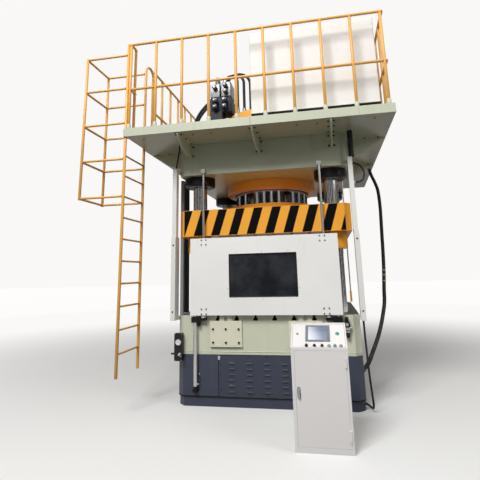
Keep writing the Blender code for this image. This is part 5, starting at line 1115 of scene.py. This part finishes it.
WEB_BOLT, FLOOR_BOLT, FLANGE = 0.0125, 0.010, 0.0125
GUSSETS = (("left", -0.965), ("middle", 0.0), ("right", 0.965))
COVER_X, COVER_THICK, COVER_SCREW = 0.498, 0.0301, 0.016
DOOR_SCREW, PANE_SCREW, PANEL_SCREW, CONSOLE_SCREW, GAUGE_SCREW = 0.0105, 0.0065, 0.0075, 0.0035, 0.0045


def screws(name, kind, places, axis, size, look="black", body="frame"):
    """Like screws in one piece; the kind is the Form's own word for them."""
    form = Form()
    for place in places:
        getattr(form, kind)(place, axis, size)
    form.piece(name, look, body)


def gusset_bolts(word, middle):
    """Heads under the deck and on the crown, in two rows through the gusset's flanges."""
    form = Form()
    for x in (middle - 0.034, middle + 0.034):
        for y in (-1.680, -1.490, -1.265):
            form.bolt((x, y, CROWN_TOP - FLANGE), DOWN, WEB_BOLT)
        for z in (3.325, 3.192):
            form.bolt((x, CROWN_FRONT - FLANGE, z), FORWARD, WEB_BOLT)
    form.piece(f"front_gusset_bolts_{word}", "black")


for word, middle in GUSSETS:
    gusset_bolts(word, middle)


def deck_bolts():
    """Heads under the deck, beside its webs and along the front of its floor."""
    beside, under = (-0.055, 0.055), CROWN_TOP + SEAT
    places = [(side * reach, y + off, under) for y in (-0.77, 0.72) for side in (-1, 1)
              for reach in (1.24, 1.42, 1.60) for off in beside]
    places += [(x + off, y, under) for word, x in GUSSETS for y in (1.35, 1.75, 2.15, 2.55) for off in beside]
    screws("deck_web_bolts", "bolt", places, DOWN, WEB_BOLT)
    screws("deck_floor_bolts", "bolt", [(x, -1.60, under) for x in (-1.48, -0.80, -0.55, 0.55, 0.80, 1.48)],
           DOWN, FLOOR_BOLT)


deck_bolts()
screws("bed_cover_screws", "cap_screw",
       [(side * COVER_X + x, BED_FRONT - COVER_THICK, z)
        for side in (-1, 1) for x in (-0.165, 0.0, 0.165) for z in (0.747, 0.906)], FORWARD, COVER_SCREW)
screws("door_guide_screws", "cap_screw",
       [(x, DOOR_FRONT, z) for x in (-0.7985, -0.7365, 0.7315, 0.7935) for z in (2.020, 1.960, 1.152, 1.091)],
       FORWARD, DOOR_SCREW, body="guard")
screws("window_screws", "dome_screw",
       [(x, DOOR_FRONT, z) for x in (-0.33, 0.0, 0.325) for z in (1.849, 1.2715)]
       + [(x, DOOR_FRONT, z) for x in (-0.453, 0.450) for z in (1.723, 1.398)],
       FORWARD, PANE_SCREW, "steel", "guard")


GASKET_SECTION = ((-0.011, -0.0005), (-0.009, 0.0015), (0.001, 0.0015), (0.0022, -0.0002))


def window_gasket():
    """A rubber strip round the opening in the door's sheet, with rounded corners."""
    form = Form()
    half, low, high, corner = 0.433, 1.2905, 1.827, 0.012
    ring = []
    for x, z, first in ((half - corner, high - corner, 0), (corner - half, high - corner, 90),
                        (corner - half, low + corner, 180), (half - corner, low + corner, 270)):
        for step in range(5):
            turn = math.radians(first + 22.5 * step)
            ring.append((x, z, math.cos(turn), math.sin(turn)))
    form.bridged([[form.bm.verts.new((x + ux * (corner + out), DOOR_FRONT - depth, z + uz * (corner + out)))
                   for x, z, ux, uz in ring] for out, depth in GASKET_SECTION])
    form.piece("window_gasket", "rubber", "guard", 50.0)


window_gasket()


SOCKET_BORE, SOCKET_RADIUS, SOCKET_TOP = 0.0192, 0.0265, DECK_TOP + 0.060


def railing_sockets():
    """A pale welded socket at the foot of each railing post."""
    form = Form()
    for posts in POSTS.values():
        for x, y, along in posts:
            form.turned([(SOCKET_BORE, DECK_TOP), (SOCKET_RADIUS, DECK_TOP),
                         (SOCKET_RADIUS, SOCKET_TOP - 0.004), (SOCKET_RADIUS - 0.002, SOCKET_TOP),
                         (SOCKET_BORE, SOCKET_TOP)], (x, y, 0), sides=24)
    form.piece("railing_post_sockets", "cream")


railing_sockets()


def weld_bead(name, points, radius, look):
    """A ripple of small overlapping beads along a line."""
    rows = []
    for a, b in zip(points, points[1:]):
        a, b = Vector(a), Vector(b)
        count = max(2, round((b - a).length / (radius * 1.4)))
        rows += [a.lerp(b, i / count) for i in range(count)]
    rows.append(Vector(points[-1]))
    swell = [radius * (1.0 + 0.12 * math.sin(i * 2.1) + 0.10 * math.sin(i * 0.37)) for i in range(len(rows))]
    Form().tube(rows, swell, 8).piece(name, look, smooth=80.0)


def bed_foot_weld():
    """A weld bead low on the bed, round its front corners and its right side."""
    side, front, radius = BED_SIDE + 0.0005, BED_FRONT - 0.0005, 0.0045
    weld_bead("bed_foot_weld", [(x, y, 0.635) for x, y in (
        (-side, -1.05), (-side, -BED_CORNER), (-1.065, front), (1.065, front), (side, -BED_CORNER),
        (side, BED_CORNER))], radius, "cream")


bed_foot_weld()


# The skirt's front: latch and panel screws

LATCH_X, LATCH_Z = -0.596, 0.563


def panel_latch():
    """A small galvanised plate with a turn catch on it."""
    form = Form()
    form.box((LATCH_X - 0.0155, BED_FRONT - 0.010, LATCH_Z - 0.024),
             (LATCH_X + 0.0155, BED_FRONT - 0.0004, LATCH_Z + 0.024), 0.003)
    form.turned([(0, 0.010), (0.0095, 0.010), (0.0095, 0.013), (0.007, 0.0155), (0, 0.0155)],
                (LATCH_X, BED_FRONT, LATCH_Z), FORWARD, 24)
    form.box((LATCH_X - 0.0025, BED_FRONT - 0.0195, LATCH_Z - 0.0075),
             (LATCH_X + 0.0025, BED_FRONT - 0.0150, LATCH_Z + 0.0075), 0.001)
    form.piece("panel_latch", "galvanised")


panel_latch()
screws("louvre_panel_screws", "dome_screw",
       [(-0.573, BED_FRONT, z) for z in (0.200, 0.356, 0.480)]
       + [(x, BED_FRONT, z) for x in (-0.22, 0.004, 0.44, 0.66) for z in (0.577, 0.142)],
       FORWARD, PANEL_SCREW)


# Guide rods' fittings, lifting cylinders and their brackets

SIDES = ((-1, "left"), (1, "right"))
ROD_X, ROD_Y, ROD_NUT_BORE = 0.781, -1.187, 0.0163
ROD_WASHER = [(ROD_NUT_BORE, 1.0447), (0.036, 1.0447), (0.036, 1.0487), (ROD_NUT_BORE, 1.0487)]
ROD_NUT = [(ROD_NUT_BORE, 1.0488, 1), (0.030, 1.0488, 1), (0.0315, 1.051, 1), (0.0315, 1.066, 1),
           (0.030, 1.0685, 1), (ROD_NUT_BORE, 1.0685, 1)]
LIFT_X, LIFT_Y, LIFT_RADIUS = 0.892, -1.180, 0.026
LIFT_HEAD = [(0.0262, 0.238), (0.0292, 0.238), (0.0298, 0.235), (0.0298, 0.2105), (0.0285, 0.2065),
             (0.0262, 0.2065)]
AIR_LINE = ((0.030, 0.002, 0.262), (0.046, 0.003, 0.263), (0.054, 0.010, 0.285), (0.048, 0.020, 0.330),
            (0.042, 0.030, 0.360))
AIR_LINE_END, AIR_LINE_TOP = 0.040, 0.372
BRACKET_BLOCKS = ((0.833, 0.940, -1.214, 0.986, 1.053), (0.833, 0.856, -1.206, 0.943, 0.990),
                  (0.747, 0.836, -1.2175, 1.0095, 1.0445))


def guide_rod_nuts():
    """A washer and a nut on the lower bracket round each guide rod."""
    nuts = Form()
    for x in (-ROD_X, ROD_X):
        nuts.turned(ROD_WASHER, (x, ROD_Y, 0), sides=32)
        nuts.turned(ROD_NUT, (x, ROD_Y, 0), sides=24)
    nuts.piece("guide_rod_nuts", "galvanised")


def lift_cylinder(side, word):
    """A bright barrel with a black foot, and a thin air line between two fittings."""
    x, y, inward = side * LIFT_X, LIFT_Y, -side
    barrel = Form().turned([
        (0, 0.226), (0.020, 0.226), (0.020, 0.984), (0.011, 0.984), (0.011, 1.0035), (LIFT_RADIUS, 1.0035),
        (LIFT_RADIUS, 0.2065), (0, 0.2065)], (x, y, 0), sides=48)
    replaced(barrel, f"lift_cylinder_{word}", "steel")
    heads = Form().turned(LIFT_HEAD, (x, y, 0), sides=48)
    heads.box((x - 0.030, y - 0.029, 0.1701), (x + 0.030, BED_FRONT - 0.0004, 0.2060), 0.003)
    for off in (-0.018, 0.018):
        heads.cap_screw((x + off, y - 0.029, 0.188), FORWARD, 0.007)
    heads.piece(f"lift_cylinder_heads_{word}", "black")
    route = [(x + inward * out, y + back, z) for out, back, z in AIR_LINE]
    route.append((x + inward * AIR_LINE_END, BED_FRONT - 0.0006, AIR_LINE_TOP))
    Form().tube(smooth_route(route, 0.006), 0.003, 10).piece(f"lift_air_line_{word}", "rubber")
    elbow = Form()
    elbow.turned([(0, 0), (0.0075, 0), (0.0075, 0.010), (0.0055, 0.012), (0.0055, 0.019), (0, 0.019)],
                 (x + inward * 0.024, y, 0.262), (inward, 0, 0), 20)
    elbow.turned([(0, 0), (0.0065, 0), (0.0065, 0.005), (0.0045, 0.006), (0, 0.006)],
                 (x + inward * AIR_LINE_END, BED_FRONT - SEAT, AIR_LINE_TOP), FORWARD, 20)
    elbow.piece(f"lift_air_fittings_{word}", "galvanised")


def lower_bracket(side, word):
    """A head block over the cylinder, a leg beside it and an arm to the guide rod's foot."""
    form = Form()
    for near, far, front, bottom, top in BRACKET_BLOCKS:
        left, right = sorted((side * near, side * far))
        form.box((left, front, bottom), (right, BED_FRONT - SEAT, top), 0.003)
    for x in (0.850, 0.930):
        form.cap_screw((side * x, -1.2141, 1.036), FORWARD, 0.0075)
    replaced(form, f"lower_bracket_{word}", "black")


screws("guide_rod_top_bolts", "bolt", [(x, ROD_Y, 2.9665) for x in (-ROD_X, ROD_X)], UP, 0.0150)
guide_rod_nuts()
for side, word in SIDES:
    lift_cylinder(side, word)
for side, word in SIDES:
    lower_bracket(side, word)


# Side posts

def post_bolts():
    """Heads on the front of each post, and on its sides near the foot and the top."""
    form = Form()
    for z in (1.967, 1.120):
        for x in (-1.182, 1.182):
            form.bolt((x, -1.2401, z), FORWARD, 0.0095)
    for side in (-1, 1):
        for z, ys in ((1.033, (-1.055, -1.012)), (2.982, (-1.115, -1.072))):
            for y in ys:
                form.bolt((side * 1.1571, y, z), (side, 0, 0), 0.0085)
    form.piece("side_post_bolts", "black")


post_bolts()


# Gauge box: a round dial with a needle, and a cock below it

GAUGE_FACE = -1.225
NEEDLE_TURN, COCK_TURN = math.radians(-38), math.radians(35)
COCK_X, COCK_Z = -1.080, SKIRT_TOP + 0.012


def gauge_dial():
    place = (GAUGE_X, GAUGE_FACE, GAUGE_Z)
    ring = Form().turned([(0.0342, 0.000), (0.0360, 0.000), (0.0360, 0.028), (0.0352, 0.0305),
                          (0.0338, 0.0305), (0.0334, 0.0290)], place, FORWARD, 48)
    ring.piece("gauge_bezel", "steel")
    dial = Form().turned([(0, 0.0290), (0.0336, 0.0290), (0.0336, 0.0282)], place, FORWARD, 48)
    dial.piece("gauge_dial", "dial")
    needle = Form()
    needle.box((-0.0009, -0.0008, -0.0065), (0.0009, 0.0008, 0.0225), 0.0003,
               turn=Matrix.Translation((GAUGE_X, GAUGE_FACE - 0.0302, GAUGE_Z))
               @ Matrix.Rotation(NEEDLE_TURN, 4, "Y"))
    needle.turned([(0, 0), (0.0032, 0), (0.0028, 0.0016), (0, 0.0018)],
                  (GAUGE_X, GAUGE_FACE - 0.0290, GAUGE_Z), FORWARD, 20)
    needle.piece("gauge_needle", "plastic")


def drain_cock():
    cock = Form()
    cock.turned([(0, 0.000, 1), (0.0175, 0.000, 1), (0.0175, 0.012, 1), (0.0130, 0.013), (0.0130, 0.034),
                 (0.0150, 0.035), (0.0150, 0.048), (0.0110, 0.052), (0, 0.052)],
                (COCK_X, GAUGE_FACE, COCK_Z), FORWARD, 24)
    cock.box((-0.0045, -0.0505, -0.004), (0.0390, -0.0445, 0.004), 0.0015,
             turn=Matrix.Translation((COCK_X, GAUGE_FACE, COCK_Z)) @ Matrix.Rotation(COCK_TURN, 4, "Y"))
    cock.piece("drain_cock", "galvanised")


gauge_dial()
drain_cock()
screws("gauge_box_screws", "dome_screw",
       [(x, GAUGE_FACE, SKIRT_TOP + rise) for x in (-1.149, -1.065) for rise in (-0.062, 0.250)],
       FORWARD, GAUGE_SCREW, "steel")


# Air valve on the right of the bed

AIR_X, AIR_FACE, BOWL_Y = 0.987, BED_FRONT - 0.0702, BED_FRONT - 0.041
AIR_LOW, AIR_HIGH = BED_TOP - 0.171, BED_TOP - 0.071


def air_valve_body():
    """A block with a round regulator on it."""
    body = Form()
    body.box((AIR_X - 0.032, BED_FRONT - 0.070, AIR_LOW),
             (AIR_X + 0.032, BED_FRONT - 0.0004, AIR_HIGH), 0.003)
    body.turned([(0, -0.002), (0.018, -0.002), (0.018, 0.006), (0.020, 0.010), (0.020, 0.046),
                 (0.017, 0.050), (0, 0.050)], (AIR_X, BOWL_Y, AIR_HIGH), sides=32)
    replaced(body, "air_valve", "plastic")


def filter_bowl():
    bowl = Form().turned([(0.021, 0.002), (0.0248, -0.004), (0.0248, -0.070), (0.020, -0.083),
                          (0.007, -0.088), (0.007, -0.090), (0, -0.090)], (AIR_X, BOWL_Y, AIR_LOW), sides=36)
    bowl.piece("air_filter_bowl", "plastic")


def air_valve_fittings():
    """A ring on the bowl, a plate and a cap on the face, a union on each side, and four screws."""
    trim = Form().turned([(0.0252, -0.024), (0.0275, -0.024), (0.0275, -0.006), (0.0252, -0.004)],
                         (AIR_X, BOWL_Y, AIR_LOW), sides=36)
    trim.box((AIR_X - 0.030, BED_FRONT - 0.0730, AIR_LOW + 0.004),
             (AIR_X + 0.030, BED_FRONT - 0.0690, AIR_LOW + 0.034), 0.001)
    trim.turned([(0, 0), (0.0165, 0), (0.0165, 0.0035), (0.0145, 0.005), (0, 0.005)],
                (AIR_X, AIR_FACE, AIR_HIGH - 0.035), FORWARD, 32)
    for side in (-1, 1):
        trim.turned([(0, 0), (0.012, 0, 1), (0.012, 0.010, 1), (0.008, 0.011), (0.008, 0.018), (0, 0.018)],
                    (AIR_X + side * 0.0322, BOWL_Y, AIR_LOW + 0.028), (side, 0, 0), 24)
    for z in (AIR_LOW + 0.010, AIR_HIGH - 0.010):
        for off in (-0.025, 0.025):
            trim.dome_screw((AIR_X + off, AIR_FACE, z), FORWARD, 0.0032)
    trim.piece("air_valve_fittings", "steel")


air_valve_body()
filter_bowl()
air_valve_fittings()


# Scale strip on the position rod

scale_strip = Form().box((1.0722, -0.6122, 1.1842), (1.0978, -0.6112, 1.3188), 0.0004)
scale_strip.piece("position_scale_strip", "yellow_strip")


# Console

CONSOLE_LEFT, CONSOLE_FRONT = 0.412, -2.340
PANEL_FOOT_Z, PANEL_HEAD_Z, PANEL_DEPTH = 0.885, 1.075, 0.24
PANEL_TILT = math.atan2(PANEL_HEAD_Z - PANEL_FOOT_Z, PANEL_DEPTH)
ON_PANEL = (Matrix.Translation((CONSOLE_LEFT, CONSOLE_FRONT, PANEL_FOOT_Z))
            @ Matrix.Rotation(PANEL_TILT, 4, "X"))
PANEL_OUT = ON_PANEL.to_3x3() @ Vector(UP)
SCREEN_LEFT, SCREEN_LOW, SCREEN_RIGHT, SCREEN_HIGH = 0.139, 0.075, 0.372, 0.280
RIM = [(SCREEN_LEFT, SCREEN_LOW), (SCREEN_RIGHT, SCREEN_LOW), (SCREEN_RIGHT, SCREEN_HIGH),
       (SCREEN_LEFT, SCREEN_HIGH)]
GLASS = [(SCREEN_LEFT + 0.024, SCREEN_LOW + 0.020), (SCREEN_RIGHT - 0.024, SCREEN_LOW + 0.020),
         (SCREEN_RIGHT - 0.024, SCREEN_HIGH - 0.016), (SCREEN_LEFT + 0.024, SCREEN_HIGH - 0.016)]
BEZEL_LOOPS = ((RIM, 0.0, -0.006), (RIM, 0.0, 0.0045), (RIM, 0.0015, 0.006),
               (GLASS, -0.003, 0.006), (GLASS, 0.0, 0.0025), (GLASS, 0.003, 0.0020))
SOFT_KEYS, FIRST_KEY, KEY_PITCH = 5, 0.032, 0.036


def panel_point(u, v, w=0.0):
    """A place on the sloping panel: u to the right, v up the slope, w out of it."""
    return ON_PANEL @ Vector((u, v, w))


def shrunk_ring(corners, shrink, lift):
    """Four corners drawn in towards their middle, at a height over the panel."""
    middle_u = sum(u for u, v in corners) / 4
    middle_v = sum(v for u, v in corners) / 4
    return [panel_point(u + (shrink if u < middle_u else -shrink),
                        v + (shrink if v < middle_v else -shrink), lift) for u, v in corners]


def console_screen():
    """A grey bezel with a raised rim, a glass display in it and a row of soft keys on each side."""
    bezel = Form()
    loops = [[bezel.bm.verts.new(place) for place in shrunk_ring(*facts)] for facts in BEZEL_LOOPS]
    bezel.bridged(loops)
    bezel.bm.faces.new(loops[0])
    bezel.bm.faces.new(loops[-1])
    for u in (SCREEN_LEFT + 0.011, SCREEN_RIGHT - 0.011):
        for k in range(SOFT_KEYS):
            v = SCREEN_LOW + FIRST_KEY + k * KEY_PITCH
            bezel.box((u - 0.0055, v - 0.006, 0.0055), (u + 0.0055, v + 0.006, 0.0070), 0.0006, turn=ON_PANEL)
    replaced(bezel, "console_screen", "bezel")
    pane = Form().box((SCREEN_LEFT + 0.0262, SCREEN_LOW + 0.0222, 0.0015),
                      (SCREEN_RIGHT - 0.0262, SCREEN_HIGH - 0.0182, 0.0030), 0.0004, turn=ON_PANEL)
    pane.piece("screen_display", "display")


BUTTON_V = 0.024
BUTTONS = ((0.224, "plastic", "button_black"), (0.295, "plastic", "button_black"),
           (0.359, "grey_plastic", "button_grey"), (0.413, "green_lens", "button_green"),
           (0.468, "grey_plastic", "button_grey"))
LAMP_SPOT, KEY_SPOT, KNOB_U = (0.443, 0.172), (0.062, 0.170), 0.150
COLLAR_ROWS = [(0.0095, 0.0), (0.0180, 0.0), (0.0180, 0.0022), (0.0172, 0.0034), (0.0160, 0.0038),
               (0.0148, 0.0038), (0.0148, 0.0012), (0.0095, 0.0012)]
CAP_RADIUS, STEM_RADIUS = 0.014, 0.008
CAP_ROWS = [(0, 0.0160), (0.0100, 0.0158), (0.0126, 0.0148), (CAP_RADIUS, 0.0125), (CAP_RADIUS, 0.0062),
            (STEM_RADIUS, 0.0060), (STEM_RADIUS, -0.0198), (0, -0.0198)]


def console_controls():
    """Steel collars round the buttons, a green lamp, a key switch and a selector knob."""
    collars = Form()
    for u, look, slot in BUTTONS:
        collars.turned(COLLAR_ROWS, panel_point(u, BUTTON_V), PANEL_OUT, 32)
    collars.piece("button_collars", "steel")
    lamp = Form().turned([(0.0165, 0.0), (0.0200, 0.0), (0.0200, 0.004), (0.0180, 0.006), (0.0165, 0.006)],
                         panel_point(*LAMP_SPOT), PANEL_OUT, 36)
    lamp.piece("lamp_collar", "steel")
    lens = Form().turned([(0, 0.0), (0.0166, 0.0), (0.0166, 0.008), (0.0150, 0.0115), (0.0100, 0.0135),
                          (0, 0.0145)], panel_point(*LAMP_SPOT), PANEL_OUT, 36)
    lens.piece("power_lamp", "green_lens")
    key = Form().turned([(0, 0.0), (0.0125, 0.0), (0.0125, 0.005), (0.0110, 0.0065), (0, 0.0065)],
                        panel_point(*KEY_SPOT), PANEL_OUT, 32)
    u, v = KEY_SPOT
    key.box((u - 0.0013, v - 0.0090, 0.006), (u + 0.0013, v + 0.0090, 0.0072), 0.0004, turn=ON_PANEL)
    key.piece("key_switch", "steel")
    knob = Form().turned([(0, 0.0), (0.0150, 0.0), (0.0150, 0.006), (0.0125, 0.0075), (0.0125, 0.017),
                          (0.0115, 0.0185), (0, 0.0185)], panel_point(KNOB_U, BUTTON_V), PANEL_OUT, 32)
    knob.box((KNOB_U - 0.0022, 0.0125, 0.017), (KNOB_U + 0.0022, 0.0355, 0.0225), 0.0008, turn=ON_PANEL)
    knob.piece("selector_knob", "plastic")


def console_joint():
    """A dark joint line round the sloping panel."""
    form = Form()
    left, right, low, high, width = 0.012, 0.513, 0.006, 0.300, 0.0022
    for u0, v0, u1, v1 in ((left, low, right, low + width), (left, high - width, right, high),
                           (left, low, left + width, high), (right - width, low, right, high)):
        form.box((u0, v0, -0.0006), (u1, v1, 0.0006), turn=ON_PANEL)
    form.piece("console_panel_joint", "joint_line")


console_screen()
console_controls()
for number, (u, look, slot) in enumerate(BUTTONS, 1):
    cap = Form().turned(CAP_ROWS, panel_point(u, BUTTON_V), PANEL_OUT, 36)
    replaced(cap, f"push_button_{number}", look)
console_joint()
screws("console_panel_screws", "dome_screw",
       [panel_point(u, v) for u in (0.022, 0.503) for v in (0.016, 0.290)], PANEL_OUT, CONSOLE_SCREW, "steel")


def oblong(x, low, high, radius, steps):
    """An upright outline with half a circle at each end."""
    outline = []
    for first, centre in ((0, high), (1, low)):
        for k in range(steps + 1):
            turn = math.pi * (first + k / steps)
            outline.append((x + radius * math.cos(turn), centre + radius * math.sin(turn)))
    return outline


def door_handle():
    """A swing handle in an oblong plate, with a lock barrel at its foot."""
    x, y, z = 0.471, CONSOLE_FRONT - SEAT, 0.52
    grip = Form()
    grip.prism(oblong(x, z - 0.057, z + 0.009, 0.009, 12), y - 0.0215, y - 0.0105, "XZ", 0.002)
    grip.turned([(0, 0), (0.012, 0), (0.012, 0.0110), (0, 0.0110)], (x, y, z), FORWARD, 32)
    grip.turned([(0, 0.0215), (0.0052, 0.0215), (0.0048, 0.0223), (0, 0.0223)], (x, y, z - 0.052),
                FORWARD, 24)
    replaced(grip, "door_handle", "alloy")
    plate = Form().prism(oblong(x, z - 0.058, z + 0.012, 0.0165, 16), y - 0.0022, y + 0.0001, "XZ", 0.0006)
    plate.piece("door_handle_plate", "grey_plastic", "console_door_leaf")


door_handle()


# Floor, light and camera

AMBIENT = 0.36
BACKDROP = (1.0, 0.99, 0.975)
BACKDROP_LEVEL = 0.95
FLOOR_REACH, FLOOR_BOUNCE, FADE_START, FADE_END = 60, 0.09, 3.0, 11.0
PALE, PALER = (0.80, 0.80, 0.79), (0.83, 0.83, 0.82)
CLOTH, CLOTH_LIGHT = (0.010, 0.010, 0.011), (0.016, 0.016, 0.017)
SCREEN_REACH, SCREEN_FOOT, SCREEN_HEAD, SCREEN_STEP = 16.0, 0.0, 9.5, 6
SCREEN_GAPS = (-161, -118, -84, -62, -39, -16, 7, 30, 53, 78, 104, 136)
GAP_WIDTH = 4.5
SCREEN_SPANS = [(a + GAP_WIDTH / 2, b - GAP_WIDTH / 2)
                for a, b in zip(SCREEN_GAPS, (*SCREEN_GAPS[1:], SCREEN_GAPS[0] + 360))]
LAMPS = (
    ("key_softbox", (-3.1, -12.0, 12.65), (0.0, -0.4, 2.0), (5.6, 5.6), 2030.0),
    ("fill_softbox", (8.0, -5.0, 6.5), (0.0, -0.4, 1.8), (4.0, 4.0), 180.0),
)


def pale_floor():
    """A pale floor that keeps the press's shadow and fades into the backdrop further off."""
    floor_mesh = bpy.data.meshes.new("floor")
    corners = [(x * FLOOR_REACH, y * FLOOR_REACH, 0) for x, y in ((-1, -1), (1, -1), (1, 1), (-1, 1))]
    floor_mesh.from_pydata(corners, [], [(0, 1, 2, 3)])
    floor = bpy.data.objects.new("floor", floor_mesh)
    bpy.context.scene.collection.objects.link(floor)
    ground = Finish("pale_floor", roughness=0.9, specular=0.1)
    pale = ground.mix(ground.noise(0.5, 2.0), PALE, PALER)
    seen = ground.put("ShaderNodeLightPath").larger(ground.put("ShaderNodeLightPath", outlet=3))
    x, y, z = ground.place.parts()
    far = ((x * x + y * y) ** 0.5).rise(FADE_START, FADE_END) * seen
    near = ground.mix(seen, (FLOOR_BOUNCE, FLOOR_BOUNCE, FLOOR_BOUNCE), pale)
    ground.to("base_color", ground.mix(far, near, (0.0, 0.0, 0.0)))
    ground.to("emission_color", ground.mix(far, (0.0, 0.0, 0.0), BACKDROP))
    ground.to("emission_strength", BACKDROP_LEVEL)
    floor_mesh.materials.append(ground.material)


def dark_panels():
    """Dark screens stand round the studio, seen in gloss alone, with bright gaps between them."""
    cloth = Finish("screen_cloth", roughness=1.0, specular=0.0)
    cloth.to("base_color", cloth.mix(cloth.noise(2.0), CLOTH, CLOTH_LIGHT))
    bm = bmesh.new()
    for start, end in SCREEN_SPANS:
        steps = max(1, round((end - start) / SCREEN_STEP))
        turns = [math.radians(start + (end - start) * k / steps) for k in range(steps + 1)]
        rows = [[bm.verts.new((SCREEN_REACH * math.sin(t), -SCREEN_REACH * math.cos(t), z)) for t in turns]
                for z in (SCREEN_FOOT, SCREEN_HEAD)]
        for k in range(steps):
            bm.faces.new((rows[0][k], rows[0][k + 1], rows[1][k + 1], rows[1][k]))
    mesh = bpy.data.meshes.new("dark_panels")
    bm.to_mesh(mesh)
    bm.free()
    mesh.materials.append(cloth.material)
    screens = bpy.data.objects.new("dark_panels", mesh)
    bpy.context.scene.collection.objects.link(screens)
    screens.visible_camera = False
    screens.visible_diffuse = False
    screens.visible_transmission = False
    screens.visible_shadow = False


def studio():
    """Dim even light from all sides under two softboxes; camera, gloss and glass see a bright backdrop."""
    world = bpy.data.worlds.new("studio")
    bpy.context.scene.world = world
    world.use_nodes = True
    tree = world.node_tree
    background = tree.nodes["Background"]
    background.inputs["Color"].default_value = (*BACKDROP, 1.0)
    rays = tree.nodes.new("ShaderNodeLightPath")
    seen = rays.outputs["Is Camera Ray"]
    for kind in ("Is Glossy Ray", "Is Transmission Ray"):
        either = tree.nodes.new("ShaderNodeMath")
        either.operation = "MAXIMUM"
        tree.links.new(seen, either.inputs[0])
        tree.links.new(rays.outputs[kind], either.inputs[1])
        seen = either.outputs[0]
    level = tree.nodes.new("ShaderNodeMapRange")
    level.inputs["To Min"].default_value = AMBIENT
    level.inputs["To Max"].default_value = BACKDROP_LEVEL
    tree.links.new(seen, level.inputs["Value"])
    tree.links.new(level.outputs["Result"], background.inputs["Strength"])

    for name, place, aim, size, power in LAMPS:
        data = bpy.data.lights.new(name, "AREA")
        data.shape = "RECTANGLE"
        data.size, data.size_y = size
        data.energy = power
        lamp = bpy.data.objects.new(name, data)
        lamp.location = place
        lamp.rotation_mode = "QUATERNION"
        lamp.rotation_quaternion = (Vector(aim) - Vector(place)).to_track_quat("-Z", "Y")
        bpy.context.scene.collection.objects.link(lamp)


pale_floor()
dark_panels()
studio()


CAMERA_PLACE, CAMERA_LENS, CAMERA_SHIFT = (0.8139, -6.5749, 1.5758), 31.433, -0.1318
CAMERA_TURNS = (0.19812, 0.22785, 0.02347)


def photo_camera():
    """Low in front of the press, a little to its right, looking up and to the left."""
    yaw, pitch, roll = CAMERA_TURNS
    right = Vector((math.cos(yaw), math.sin(yaw), 0.0))
    ahead = Vector((-math.sin(yaw) * math.cos(pitch), math.cos(yaw) * math.cos(pitch), math.sin(pitch)))
    up = Vector((math.sin(yaw) * math.sin(pitch), -math.cos(yaw) * math.sin(pitch), math.cos(pitch)))
    across = right * math.cos(roll) - up * math.sin(roll)
    upward = right * math.sin(roll) + up * math.cos(roll)
    data = bpy.data.cameras.new("photo_camera")
    data.lens = CAMERA_LENS
    data.sensor_width = 36.0
    data.shift_y = CAMERA_SHIFT
    data.clip_end = 300.0
    camera = bpy.data.objects.new("photo_camera", data)
    turn = Matrix((across, upward, -ahead)).transposed().to_4x4()
    camera.matrix_world = Matrix.Translation(CAMERA_PLACE) @ turn
    bpy.context.scene.collection.objects.link(camera)
    bpy.context.scene.camera = camera


photo_camera()
bpy.context.scene.view_settings.view_transform = "Standard"
